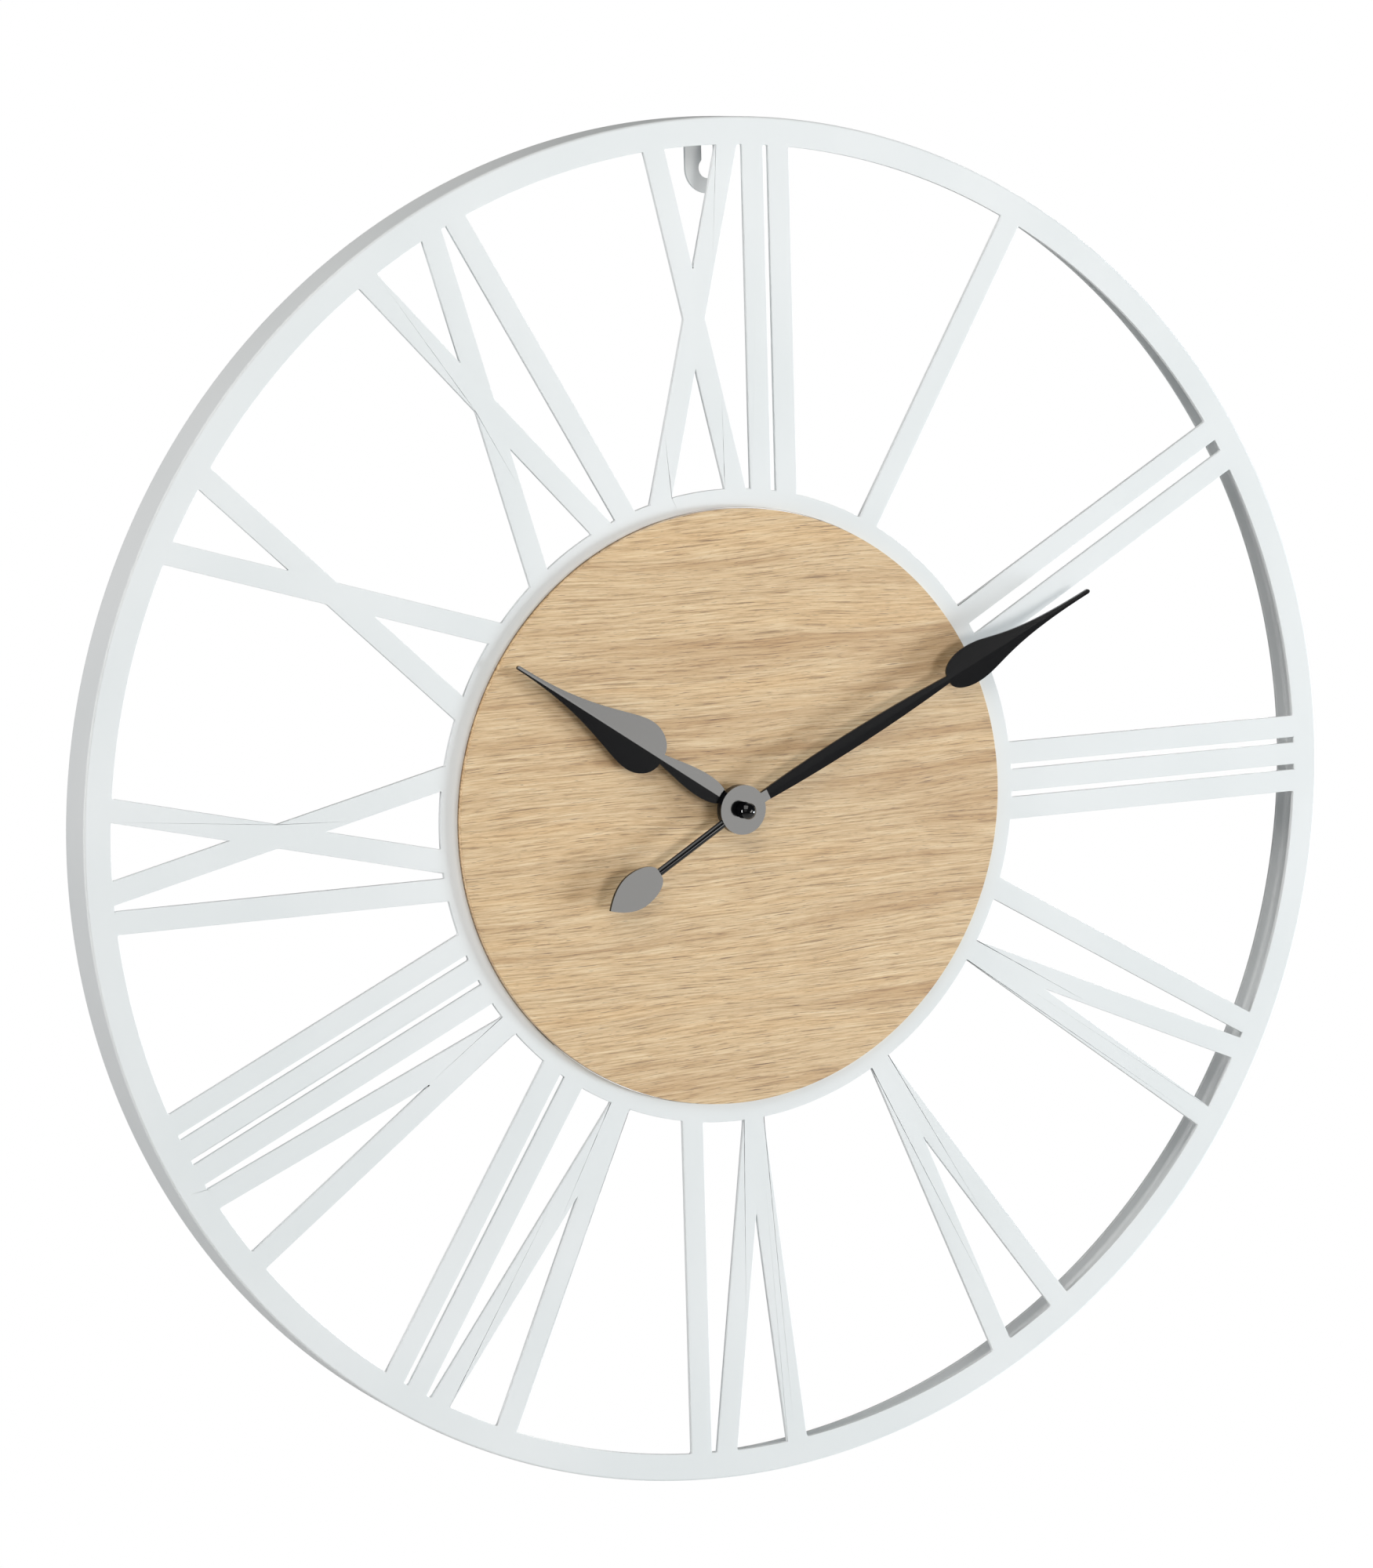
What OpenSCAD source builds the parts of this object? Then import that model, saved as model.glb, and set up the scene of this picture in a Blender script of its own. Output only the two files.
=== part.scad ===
// Skeleton wall clock: a powder-coated steel ring with roman numerals cut out of flat
// sheet, an oak-faced disc in the middle, spade hands and a quartz movement behind.
// +Z is up, -Y is the front, and the origin is the round hole of the hanger keyhole.
// Modules draw in the dial's own frame: x right, y up, z towards the viewer, z = 0 on
// the front face of the steel plate. stand_up() turns that frame into the clock's frame.

/* [Rim and plate] */
// Outer diameter of the clock
rim_d = 600; // [450:5:800]
// Width of the flat ring on the front of the rim
face_w = 12; // [8:0.5:20]
// Thickness of the laser-cut front plate
plate_t = 2; // [1.5:0.1:3]
// Rounding of the front outer corner
face_round = 1; // [0.4:0.1:1.4]
// Depth of the rim from its front face to the wall
rim_depth = 24; // [23.5:0.5:45]
// Thickness of the rolled strip that makes the side of the rim
band_t = 1.5; // [1:0.1:2.5]
// Width of the lip that turns inwards along the wall
lip_w = 6.3; // [4:0.1:12]
// Inside bend radius between side and lip
lip_bend = 1.5; // [0.8:0.1:2.5]

/* [Numerals] */
// Width of one stroke
stroke_w = 10; // [6:0.5:14]
// Gap between neighbouring strokes of a numeral
stroke_gap = 2.5; // [1.5:0.1:5]
// Wider gap that only the two o'clock numeral has
pair_gap = 5.7; // [2:0.1:8]
// Half width of a V or an X, between stroke centre lines
letter_half = 17.5; // [12:0.5:22]
// Lean of the last strokes of the seven
lean_seven = 1.75; // [0:0.25:3]
// Lean of the last strokes of the eight
lean_eight = 4.75; // [0:0.25:6]

/* [Disc] */
// Diameter of the oak-faced disc
disc_d = 262; // [200:2:300]
// Thickness of the disc
disc_t = 4.5; // [4:0.5:6]
// Gap between the disc and the ring around it
disc_gap = 0.3; // [0.2:0.05:0.8]
// Width of the steel ring around the disc
hub_ring_w = 8.2; // [6:0.2:14]
// Number of lugs that carry the disc from behind
lug_count = 4; // [3:1:6]
// Width of one lug
lug_w = 12; // [10:1:20]
// Thickness of one lug
lug_t = 1.5; // [1:0.1:2]
// How far a lug reaches in under the disc
lug_reach = 20; // [14:1:30]
// Shank diameter of the lug screws
lug_screw_d = 2.9; // [2.2:0.1:3.5]

/* [Hanger] */
// Height of the keyhole above the hand axis, as a distance in from the rim's edge
hole_in = 22; // [21:0.5:26]
// Diameter of the round part of the keyhole
keyhole_d = 9; // [7:0.5:10]
// Width of the slot above it
slot_w = 6; // [4:0.25:6.5]
// Height of the slot's end above the round hole
slot_rise = 11; // [8:0.5:12]
// Width of the tab
tab_w = 22; // [18:1:30]
// Thickness of the tab
tab_t = 1.5; // [1:0.1:2.5]
// Distance of the tab behind the front face
tab_back = 8; // [4:0.5:12]

/* [Hands] */
// Length of the minute hand from the axis
minute_len = 194.7; // [150:1:220]
// Length of the minute hand's stem up to its spade
minute_stem = 114.4; // [90:1:130]
// Largest half width of the minute spade
minute_half = 8.7; // [6:0.1:11]
// Length of the tail from the axis
tail_len = 75.6; // [60:0.5:90]
// Angle by which the tail is out of line with the blade
tail_turn = 5.2; // [0:0.1:6]
// Length of the hour hand from the axis
hour_len = 125.8; // [100:1:128]
// Length of the hour hand's neck up to its spade
hour_neck = 44.8; // [35:1:55]
// Largest half width of the hour spade
hour_half = 11.9; // [8:0.1:13]
// Diameter of the flat boss of both hands
boss_d = 21.8; // [18:0.2:26]
// Thickness of a hand at its boss and along its ridge
hand_t = 1.8; // [1.8:0.1:2.4]
// Step from the boss's face down to the ridge
ridge_drop = 0.3; // [0.1:0.1:0.5]
// Slope of the two facets that fall away from the ridge
facet_angle = 6.5; // [4:0.5:7]
// Clockwise angle of the minute hand from twelve
minute_angle = 64.5; // [0:0.5:360]
// Clockwise angle of the hour hand from twelve
hour_angle = 304; // [0:0.1:360]
// Height of the back of the hour hand above the front plate
hour_lift = 6.1; // [6:0.1:9]
// Free space between the two hands
hand_gap = 0.4; // [0.3:0.1:1]

/* [Movement] */
// Width and height of the movement case
case_w = 56; // [56:0.5:62]
// Depth of the case with its cover
case_t = 16.5; // [16.5:0.25:18.5]
// Wall thickness of the case
wall_t = 1.2; // [1:0.1:1.6]
// Distance of the hand axis below the case's top edge
axis_down = 20.5; // [20.5:0.5:22]
// Diameter of the threaded bush
bush_d = 7.8; // [7:0.1:9]
// Outer diameter of the hour tube
hour_tube_d = 5; // [4.6:0.1:5.4]
// Outer diameter of the minute arbor
arbor_d = 3.2; // [2.8:0.1:3.4]
// Width over the flats of the fixing nut
nut_af = 11; // [10:0.5:14]
// Diameter of the cap nut on the minute hand
cap_d = 7.1; // [6:0.1:8]
// Length of the cap nut's straight side in front of the hand
cap_side = 5.3; // [3:0.1:7]
// Height of the cap nut's dome
cap_dome = 2; // [1:0.1:3]
// Battery diameter
cell_d = 14.5; // [14:0.1:14.5]
// Battery length without its contact stud
cell_len = 48.7; // [48:0.1:49]

/* [Fits] */
// Radial play of a running fit
run_fit = 0.06; // [0.03:0.01:0.09]
// Radial play of a hole that a screw or bush passes through
pass_fit = 0.3; // [0.1:0.05:0.5]
// Play between loose pieces
loose_fit = 0.3; // [0.3:0.05:0.5]

/* [Hidden] */
$fn = 96;
eps = 0.02;

rim_r = rim_d / 2;
face_r = rim_r - face_w;                    // inner edge of the front ring
disc_r = disc_d / 2;
hub_in = disc_r + disc_gap;
hub_out = hub_in + hub_ring_w;
disc_z = -plate_t;                          // the disc's back is flush with the plate's back
disc_top = disc_z + disc_t;

hole_up = rim_r - hole_in;                  // height of the keyhole above the hand axis
tab_z = -tab_back - tab_t;                  // rear face of the tab

lug_hole_in = 8;                            // screw position, in from the disc's edge
lug_overlap = hub_ring_w - 1.5;             // how far a lug laps the hub ring
screw_len = 3.5;
screw_head_d = 5.6;
screw_head_t = 1.8;

// Stack along the hand axis, from the disc's back towards the wall
gasket_t = 0.8;
gasket_r = 10;
case_z = disc_z - gasket_t;                 // front face of the case
front_wall = 1.5;
cover_t = 1.2;
case_back = case_z - case_t;                // rear face of the cover
inner_z = case_z - front_wall;              // inner side of the case's front wall
cover_z = case_back + cover_t;              // where the cover starts
shell_x = case_w / 2;
case_up = axis_down;
case_down = case_w - axis_down;
bay_split = -17;                            // upper side of the wall above the battery bay
bay_low = -case_down + wall_t;
bay_high = bay_split - wall_t;
cell_y = (bay_low + bay_high) / 2;
cell_z = inner_z - loose_fit - cell_d / 2;
contact_t = 0.4;
stud_len = 1.2;
stud_r = 2.75;
cell_right = shell_x - wall_t - contact_t - loose_fit - stud_len;

// Stack along the hand axis, from the disc towards the viewer
washer_t = 0.5;
washer_r = 6.5;
nut_t = 2;
bush_proud = 0.6;                           // how far the bush stands out of its nut
nut_z = disc_top + washer_t;
bush_top = nut_z + nut_t + bush_proud;
bush_r = bush_d / 2;
flange_r = bush_r + 2.4;
flange_t = 0.5;
hour_z = hour_lift;
hour_top = hour_z + hand_t;
minute_z = hour_top + hand_gap;
minute_top = minute_z + hand_t;
web_t = 0.6;                                // thin floor of the minute hand's boss
cap_z = minute_z + web_t;
cap_hole_r = cap_d / 2 + 0.2;               // counterbore in the boss, round the cap nut
tube_r = hour_tube_d / 2;
arbor_r = arbor_d / 2;
arbor_in_cap = 4;
arbor_top = cap_z + arbor_in_cap;
core_r = arbor_r - 0.55;                    // rear part of the arbor that carries the centre wheel

// Wheels: teeth, modules, and places of the axes around the hand axis
hour_teeth = 36;
motion_pinion_teeth = 12;
minute_pinion_teeth = 10;
motion_teeth = 40;
centre_teeth = 64;
third_teeth = 60;
seconds_teeth = 48;
step_teeth = 40;
pinion_teeth = 8;
hour_mod = 0.45;
centre_mod = 0.28;
seconds_mod = 0.375;
step_mod = 0.3;
motion_dist = hour_mod * (motion_pinion_teeth + hour_teeth) / 2;
motion_mod = 2 * motion_dist / (minute_pinion_teeth + motion_teeth);
third_dist = centre_mod * (pinion_teeth + centre_teeth) / 2;
third_mod = 2 * third_dist / (pinion_teeth + third_teeth);
step_dist = seconds_mod * (pinion_teeth + seconds_teeth) / 2;
rotor_dist = step_mod * (pinion_teeth + step_teeth) / 2;
motion_dir = 225;
third_dir = 135;
step_dir = 10;
rotor_dir = -60;
motion_pos = motion_dist * [cos(motion_dir), sin(motion_dir)];
third_pos = third_dist * [cos(third_dir), sin(third_dir)];
step_pos = step_dist * [cos(step_dir), sin(step_dir)];
rotor_pos = step_pos + rotor_dist * [cos(rotor_dir), sin(rotor_dir)];

// Layers of the wheels: each height is a wheel's front face
wheel_t = 0.8;
layer_gap = 0.5;
side = 0.2;                                 // how far a pinion stands past the wheel it meets
end_play = 0.15;
shake = 0.4;                                // space behind a tube or arbor end
hour_wheel_z = inner_z - flange_t - shake;
motion_wheel_z = hour_wheel_z - wheel_t - layer_gap;
centre_wheel_z = motion_wheel_z - wheel_t - layer_gap;
arbor_end = centre_wheel_z - wheel_t - shake;
train_gap = 0.8;
third_wheel_z = arbor_end - 0.6;
seconds_wheel_z = third_wheel_z - wheel_t - train_gap;
step_wheel_z = seconds_wheel_z - wheel_t - train_gap;
train_plate_z = step_wheel_z - wheel_t - train_gap;
train_plate_t = 1.2;

// Pivots run in blind holes of the case's bosses and in the train plate
pivot_r = 0.4;
shaft_r = 0.6;
knob_shaft_r = 1;
pivot_depth = 0.8;
boss_wall = 0.7;
motion_boss_z = hour_wheel_z + side + end_play;
third_boss_z = centre_wheel_z + side + end_play;
step_boss_z = seconds_wheel_z + side + end_play;
post_r = 1.6;
post_pin_r = 0.8;
posts = [[-15.3, 16.2], [2.5, 16.6], [6, -14.6], [17.5, 8]];

// Motor
stator_z = centre_wheel_z;
stator_t = 0.8;
magnet_r = 2.6;
magnet_t = 3;
magnet_top = stator_z + 1.1;
rotor_boss_z = magnet_top + end_play + side;
rotor_gap = 0.4;
pole_w = 1.1;                               // iron left around the rotor's hole
coil_x = shell_x - wall_t - 3.6;
coil_r = 2.9;
coil_half = 10;
cheek_rise = 0.3;
cheek_t = 0.8;
core_w = 2.4;
loop_left = rotor_pos[0] - core_w / 2;
loop_end = coil_half + cheek_t + core_w + 0.2;
former_r = core_w / 2 + 0.8;
board_x = -shell_x + wall_t + 0.4;
board_w = 8.6;
board_t = 0.8;
board_low = bay_split + 1;
board_high = case_up - wall_t - 1;
board_z = train_plate_z + 1.2;
chip_up = 11;                               // places of the parts above the board's lower edge
crystal_up = 19;
chip_t = 1.1;
chip_ball_r = 4.6;
crystal_r = 1.05;
crystal_len = 6;
plus_half = 4.5;                            // half widths of the two battery contacts
minus_half = 4;
spring_rise = 3;
knob_r = 6;
knob_t = 3;
knob_gap = 0.4;
knob_flutes = 18;

NUMERALS = ["I", "II", "III", "IV", "V", "VI", "VII", "VIII", "IX", "X", "XI", "XII"];

// ---- shared shapes -------------------------------------------------------------------

// From the dial's frame to the clock's frame
module stand_up() {
    translate([0, tab_z, -hole_up]) rotate([90, 0, 0]) children();
}

// A slab of a flat outline with its upper face at z
module slab(z, t) {
    translate([0, 0, z - t]) linear_extrude(t) children();
}

// A flat washer between two heights
module tube(r_out, r_in, z_low, z_high) {
    difference() {
        translate([0, 0, z_low]) cylinder(r = r_out, h = z_high - z_low);
        translate([0, 0, z_low - 1]) cylinder(r = r_in, h = z_high - z_low + 2);
    }
}

module rod(r, z_low, z_high) {
    translate([0, 0, z_low]) cylinder(r = r, h = z_high - z_low);
}

module rounded_box(x_low, x_high, y_low, y_high, r) {
    for (x = [x_low + r, x_high - r], y = [y_low + r, y_high - r])
        translate([x, y]) circle(r, $fn = 32);
    translate([x_low + r, y_low]) square([x_high - x_low - 2 * r, y_high - y_low]);
    translate([x_low, y_low + r]) square([x_high - x_low, y_high - y_low - 2 * r]);
}

// Points of a cubic curve between p and s with the handles q and r
function curve(p, q, r, s, steps) = [for (i = [0 : steps]) let (t = i / steps, u = 1 - t)
    u * u * u * p + 3 * u * u * t * q + 3 * u * t * t * r + t * t * t * s];

// A closed outline from the right-hand half of a shape that is symmetric about y
module both_sides(half) {
    polygon(concat(half, [for (i = [len(half) - 1 : -1 : 0]) [-half[i][0], half[i][1]]]));
}

// ---- steel frame ---------------------------------------------------------------------

// Half-section with a rounded corner at its outer lower edge
module cornered(x0, x1, z0, z1, r) {
    translate([x0, z0 + r]) square([x1 - x0, z1 - z0 - r]);
    translate([x0, z0]) square([x1 - r - x0, r + eps]);
    translate([x1 - r, z0 + r]) circle(r, $fn = 48);
}

module front_ring() {
    color("white") rotate_extrude($fn = 360) {
        translate([face_r, -plate_t]) square([face_w, plate_t - face_round]);
        translate([face_r, -plate_t]) square([face_w - face_round, plate_t]);
        translate([rim_r - face_round, -face_round]) circle(face_round, $fn = 48);
    }
}

// Rolled strip behind the plate, with its rear edge turned inwards as a lip
module rim_band() {
    color("white") rotate_extrude($fn = 360) difference() {
        cornered(rim_r - lip_w, rim_r, -rim_depth, -plate_t, lip_bend + band_t);
        cornered(rim_r - lip_w - 1, rim_r - band_t, -rim_depth + band_t, -plate_t + 1, lip_bend);
    }
}

module hub_ring() {
    color("white") tube(hub_out, hub_in, -plate_t, 0, $fn = 240);
}

function letter_w(c) = c == "I" ? 0 : 2 * letter_half;
function gap_of(s) = stroke_w + (s == "II" ? pair_gap : stroke_gap);
function left_of(s, i) = i == 0 ? 0 : left_of(s, i - 1) + letter_w(s[i - 1]) + gap_of(s);
function width_of(s) = left_of(s, len(s) - 1) + letter_w(s[len(s) - 1]);
function lean_of(s) = s == "VII" ? lean_seven : s == "VIII" ? lean_eight : 0;

// One straight stroke whose centre line runs from x_in at the hub ring to x_out at the rim
module stroke(x_in, x_out) {
    rise = face_r - hub_out;
    slope = (x_out - x_in) / rise;
    half = stroke_w / 2 * sqrt(1 + slope * slope);
    low = -face_w;
    high = rise + face_w / 2;
    translate([x_in, hub_out]) polygon([
        [slope * low - half, low], [slope * low + half, low],
        [slope * high + half, high], [slope * high - half, high]]);
}

module letter(c, x, lean) {
    run = tan(lean) * (face_r - hub_out);
    if (c == "I") stroke(x - run, x);
    if (c == "V") {
        stroke(x, x - letter_half);
        stroke(x, x + letter_half);
    }
    if (c == "X") {
        stroke(x - letter_half, x + letter_half);
        stroke(x + letter_half, x - letter_half);
    }
}

// The numeral of one hour, its foot on the hub ring and its head on the rim
module numeral(hour) {
    s = NUMERALS[hour - 1];
    color("white") rotate([0, 0, -30 * hour]) slab(0, plate_t) intersection() {
        difference() {
            circle(face_r, $fn = 360);
            circle(hub_out, $fn = 240);
        }
        for (i = [0 : len(s) - 1])
            letter(s[i], left_of(s, i) + letter_w(s[i]) / 2 - width_of(s) / 2, lean_of(s));
    }
}

// Keyhole tab, edge-welded to the inside of the rim behind the front ring
module hanger_tab() {
    color("white") slab(-tab_back, tab_t) difference() {
        intersection() {
            translate([0, hole_up]) {
                circle(tab_w / 2);
                translate([-tab_w / 2, 0]) square([tab_w, hole_in]);
            }
            circle(rim_r - band_t, $fn = 360);
        }
        translate([0, hole_up]) {
            circle(keyhole_d / 2);
            translate([-slot_w / 2, 0]) square([slot_w, slot_rise]);
            translate([0, slot_rise]) circle(slot_w / 2);
        }
    }
}

// ---- disc and its fixings ------------------------------------------------------------

module at_lugs() {
    for (i = [0 : lug_count - 1]) rotate([0, 0, 180 / lug_count + 360 / lug_count * i]) children();
}

// Flat lugs welded to the back of the hub ring, reaching in behind the disc
module disc_lugs() {
    color("white") at_lugs() slab(-plate_t, lug_t) difference() {
        intersection() {
            translate([disc_r - lug_reach, -lug_w / 2]) square([lug_reach + lug_overlap, lug_w]);
            circle(hub_in + lug_overlap, $fn = 240);
        }
        translate([disc_r - lug_hole_in, 0]) circle(lug_screw_d / 2 + pass_fit, $fn = 32);
    }
}

// Pan-head screws through the lugs into the disc
module lug_screws() {
    color("silver") at_lugs() translate([disc_r - lug_hole_in, 0, 0]) {
        rod(lug_screw_d / 2, -plate_t - lug_t, -plate_t + screw_len, $fn = 32);
        rod(screw_head_d / 2, -plate_t - lug_t - screw_head_t, -plate_t - lug_t, $fn = 32);
    }
}

module oak_disc() {
    color("burlywood") difference() {
        rod(disc_r, disc_z, disc_top, $fn = 240);
        rod(bush_r + pass_fit, disc_z - 1, disc_top + 1);
        at_lugs() translate([disc_r - lug_hole_in, 0, 0])
            rod(lug_screw_d / 2, disc_z - 1, disc_z + screw_len, $fn = 32);
    }
}

// ---- movement case -------------------------------------------------------------------

module rubber_gasket() {
    color("dimgray") tube(gasket_r, bush_r + pass_fit, case_z, disc_z);
}

// Brass bush pressed into the case; it clamps the disc and guides the hour tube
module threaded_bush() {
    color("goldenrod") difference() {
        union() {
            rod(bush_r, inner_z, bush_top);
            rod(flange_r, inner_z - flange_t, inner_z);
        }
        rod(tube_r + run_fit, inner_z - flange_t - 1, bush_top + 1);
    }
}

module dial_washer() {
    color("goldenrod") tube(washer_r, bush_r + 0.1, disc_top, nut_z);
}

module hex_nut() {
    color("goldenrod") difference() {
        rotate([0, 0, 15]) translate([0, 0, nut_z]) cylinder(r = nut_af / sqrt(3), h = nut_t, $fn = 6);
        rod(bush_r, nut_z - 1, nut_z + nut_t + 1);
    }
}

module case_outline(inset) {
    rounded_box(-shell_x + inset, shell_x - inset, -case_down + inset, case_up - inset, 3 - inset);
}

module pivot_boss(pos, z_end) {
    translate(pos) rod(pivot_r + boss_wall, z_end, inner_z + eps, $fn = 32);
}

module pivot_hole(pos, z_end) {
    translate(pos) rod(pivot_r + run_fit, z_end - 1, z_end + pivot_depth, $fn = 32);
}

module wheel_room() {
    rounded_box(-shell_x + wall_t, shell_x - wall_t, bay_split, case_up - wall_t, 1.6);
}

module battery_room() {
    rounded_box(-shell_x + wall_t, shell_x - wall_t, bay_low, bay_high, 1.6);
}

// Front shell of the movement: front wall, side walls, battery bay and wheel posts
module movement_case() {
    color("black") difference() {
        union() {
            difference() {
                translate([0, 0, case_back]) linear_extrude(case_t) case_outline(0);
                translate([-shell_x - 1, bay_high, case_back - 1]) cube([case_w + 2, case_w, cover_t + 1]);
                translate([0, 0, case_back - 1]) linear_extrude(inner_z - case_back + 1) wheel_room();
                translate([0, 0, case_back - 1]) linear_extrude(inner_z - case_back + 1) battery_room();
            }
            pivot_boss(third_pos, third_boss_z);
            pivot_boss(step_pos, step_boss_z);
            pivot_boss(rotor_pos, rotor_boss_z);
            pivot_boss(motion_pos, motion_boss_z);
            for (p = posts) translate(p) {
                rod(post_r, train_plate_z, inner_z + eps, $fn = 32);
                rod(post_pin_r, train_plate_z - train_plate_t, train_plate_z + eps, $fn = 32);
            }
        }
        rod(bush_r, inner_z - 1, case_z + 1);
        pivot_hole(third_pos, third_boss_z);
        pivot_hole(step_pos, step_boss_z);
        pivot_hole(rotor_pos, rotor_boss_z);
        pivot_hole(motion_pos, motion_boss_z);
    }
}

// Rear lid over the wheels; the battery bay stays open
module movement_cover() {
    color("black") difference() {
        union() {
            slab(cover_z, cover_t) rounded_box(-shell_x, shell_x, bay_high, case_up, 1.5);
            slab(cover_z + 2, 2 + eps) difference() {
                rounded_box(-shell_x + wall_t + 0.1, shell_x - wall_t - 0.1, bay_split + 0.1,
                    case_up - wall_t - 0.1, 1.5);
                rounded_box(-shell_x + 2 * wall_t, shell_x - 2 * wall_t, bay_split + wall_t,
                    case_up - 2 * wall_t, 1);
            }
        }
        translate(motion_pos) rod(knob_shaft_r + pass_fit, case_back - 1, cover_z + 1, $fn = 32);
    }
}

// Plastic plate that carries the rear pivots of the wheels
module train_plate() {
    color("white") slab(train_plate_z, train_plate_t) difference() {
        rounded_box(posts[0][0] - 2, posts[3][0] + 2, bay_split + 0.8, case_up - wall_t - 0.8, 2);
        circle(pivot_r + run_fit, $fn = 32);
        for (p = [third_pos, step_pos, rotor_pos]) translate(p) circle(pivot_r + run_fit, $fn = 32);
        translate(motion_pos) circle(knob_shaft_r + run_fit, $fn = 32);
        for (p = posts) translate(p) circle(post_pin_r, $fn = 32);
    }
}

// ---- electronics ---------------------------------------------------------------------

module circuit_board() {
    color("seagreen") slab(board_z, board_t)
        translate([board_x, board_low]) square([board_w, board_high - board_low]);
}

module chip_cap() {
    color("black") translate([board_x + board_w / 2, board_low + chip_up, board_z]) intersection() {
        translate([0, 0, chip_t - chip_ball_r]) sphere(r = chip_ball_r, $fn = 48);
        cylinder(r = board_w / 2, h = 2 * chip_t);
    }
}

module quartz_crystal() {
    color("silver") translate([board_x + board_w / 2, board_low + crystal_up, board_z + crystal_r])
        rotate([-90, 0, 0]) cylinder(r = crystal_r, h = crystal_len, $fn = 32);
}

// Winding former with two square cheeks and a slot for the core
module coil_bobbin() {
    color("ivory") translate([coil_x, 0, stator_z - stator_t / 2]) rotate([90, 0, 0])
        difference() {
            union() {
                rod(former_r, -coil_half, coil_half, $fn = 64);
                for (z = [-coil_half - cheek_t, coil_half])
                    translate([-coil_r - cheek_rise, -coil_r - cheek_rise, z])
                        cube([2 * (coil_r + cheek_rise), 2 * (coil_r + cheek_rise), cheek_t]);
            }
            translate([-core_w / 2, -stator_t / 2, -coil_half - 2])
                cube([core_w, stator_t, 2 * coil_half + 4]);
        }
}

module coil_winding() {
    color("chocolate") translate([coil_x, 0, stator_z - stator_t / 2]) rotate([90, 0, 0])
        tube(coil_r, former_r, -coil_half, coil_half, $fn = 64);
}

// Soft-iron loop through the coil with the rotor's round hole in its left leg
module stator() {
    color("slategray") slab(stator_z, stator_t) difference() {
        union() {
            difference() {
                translate([loop_left, -loop_end]) square([coil_x + core_w / 2 - loop_left, 2 * loop_end]);
                translate([loop_left + core_w, core_w - loop_end])
                    square([coil_x - core_w * 1.5 - loop_left, 2 * (loop_end - core_w)]);
            }
            translate(rotor_pos) circle(magnet_r + rotor_gap + pole_w);
        }
        translate(rotor_pos) circle(magnet_r + rotor_gap);
    }
}

// Flat spring plate in the bay's right-hand end
module positive_contact() {
    color("gold") translate([shell_x - wall_t - contact_t, cell_y - plus_half, inner_z - 12])
        cube([contact_t, 2 * plus_half, 11]);
}

// Bowed leaf spring in the bay's left-hand end
module negative_contact() {
    color("gold") translate([-shell_x + wall_t, cell_y + minus_half, 0]) rotate([90, 0, 0])
        linear_extrude(2 * minus_half)
        polygon(concat(
            [[0, inner_z - 13], [0, inner_z - 0.5], [contact_t, inner_z - 0.5]],
            curve([contact_t, inner_z - 2], [spring_rise, inner_z - 5], [spring_rise, inner_z - 9],
                [contact_t, inner_z - 12], 12)));
}

module battery() {
    color("gray") translate([cell_right, cell_y, cell_z]) rotate([0, 90, 0]) {
        rod(cell_d / 2, -cell_len, 0);
        rod(stud_r, 0, stud_len, $fn = 48);
    }
}

// ---- wheels --------------------------------------------------------------------------

// Outline of a spur wheel: narrow straight-sided teeth with plenty of backlash
function tooth(n, m, i) = let (
        pitch = 360 / n, r = m * n / 2, a = i * pitch, root = r - 1.2 * m, tip = r + 0.8 * m)
    [for (p = [[root, -0.30], [r, -0.20], [tip, -0.07], [tip, 0.07], [r, 0.20], [root, 0.30]])
        p[0] * [cos(a + p[1] * pitch), sin(a + p[1] * pitch)]];

// phase turns the wheel so that a tooth (0) or a gap (0.5) points along the x axis
module gear(n, m, phase) {
    polygon([for (i = [0 : n - 1], p = tooth(n, m, i + phase)) p]);
}

// A driving wheel points a tooth along the line of centres, its partner shows a gap
module gear_at(dir, n, m, gap) {
    rotate([0, 0, dir]) gear(n, m, gap ? 0.5 : 0);
}

module minute_arbor() {
    color("goldenrod") difference() {
        union() {
            rod(arbor_r, motion_wheel_z + side, arbor_top);
            slab(motion_wheel_z + side, wheel_t + 2 * side)
                gear_at(motion_dir, minute_pinion_teeth, motion_mod, false);
            rod(core_r, arbor_end, motion_wheel_z, $fn = 48);
        }
        rod(pivot_r + run_fit, arbor_end - 1, arbor_end + 1.2, $fn = 32);
    }
}

module hour_wheel() {
    color("ivory") difference() {
        union() {
            rod(tube_r, hour_wheel_z - wheel_t, hour_top);
            slab(hour_wheel_z, wheel_t) gear_at(motion_dir, hour_teeth, hour_mod, true);
        }
        rod(arbor_r + run_fit, hour_wheel_z - wheel_t - 1, hour_top + 1);
    }
}

// Wheel and pinion between minute arbor and hour wheel; its shaft carries the knob
module motion_wheel() {
    color("ivory") translate(motion_pos) {
        slab(hour_wheel_z + side, hour_wheel_z + side - motion_wheel_z + eps)
            gear_at(motion_dir + 180, motion_pinion_teeth, hour_mod, false);
        slab(motion_wheel_z, wheel_t) gear_at(motion_dir + 180, motion_teeth, motion_mod, true);
        rod(knob_shaft_r, case_back - knob_gap - knob_t + 0.6, hour_wheel_z, $fn = 32);
        rod(pivot_r, hour_wheel_z, motion_boss_z + pivot_depth - 0.1, $fn = 32);
    }
}

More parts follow.
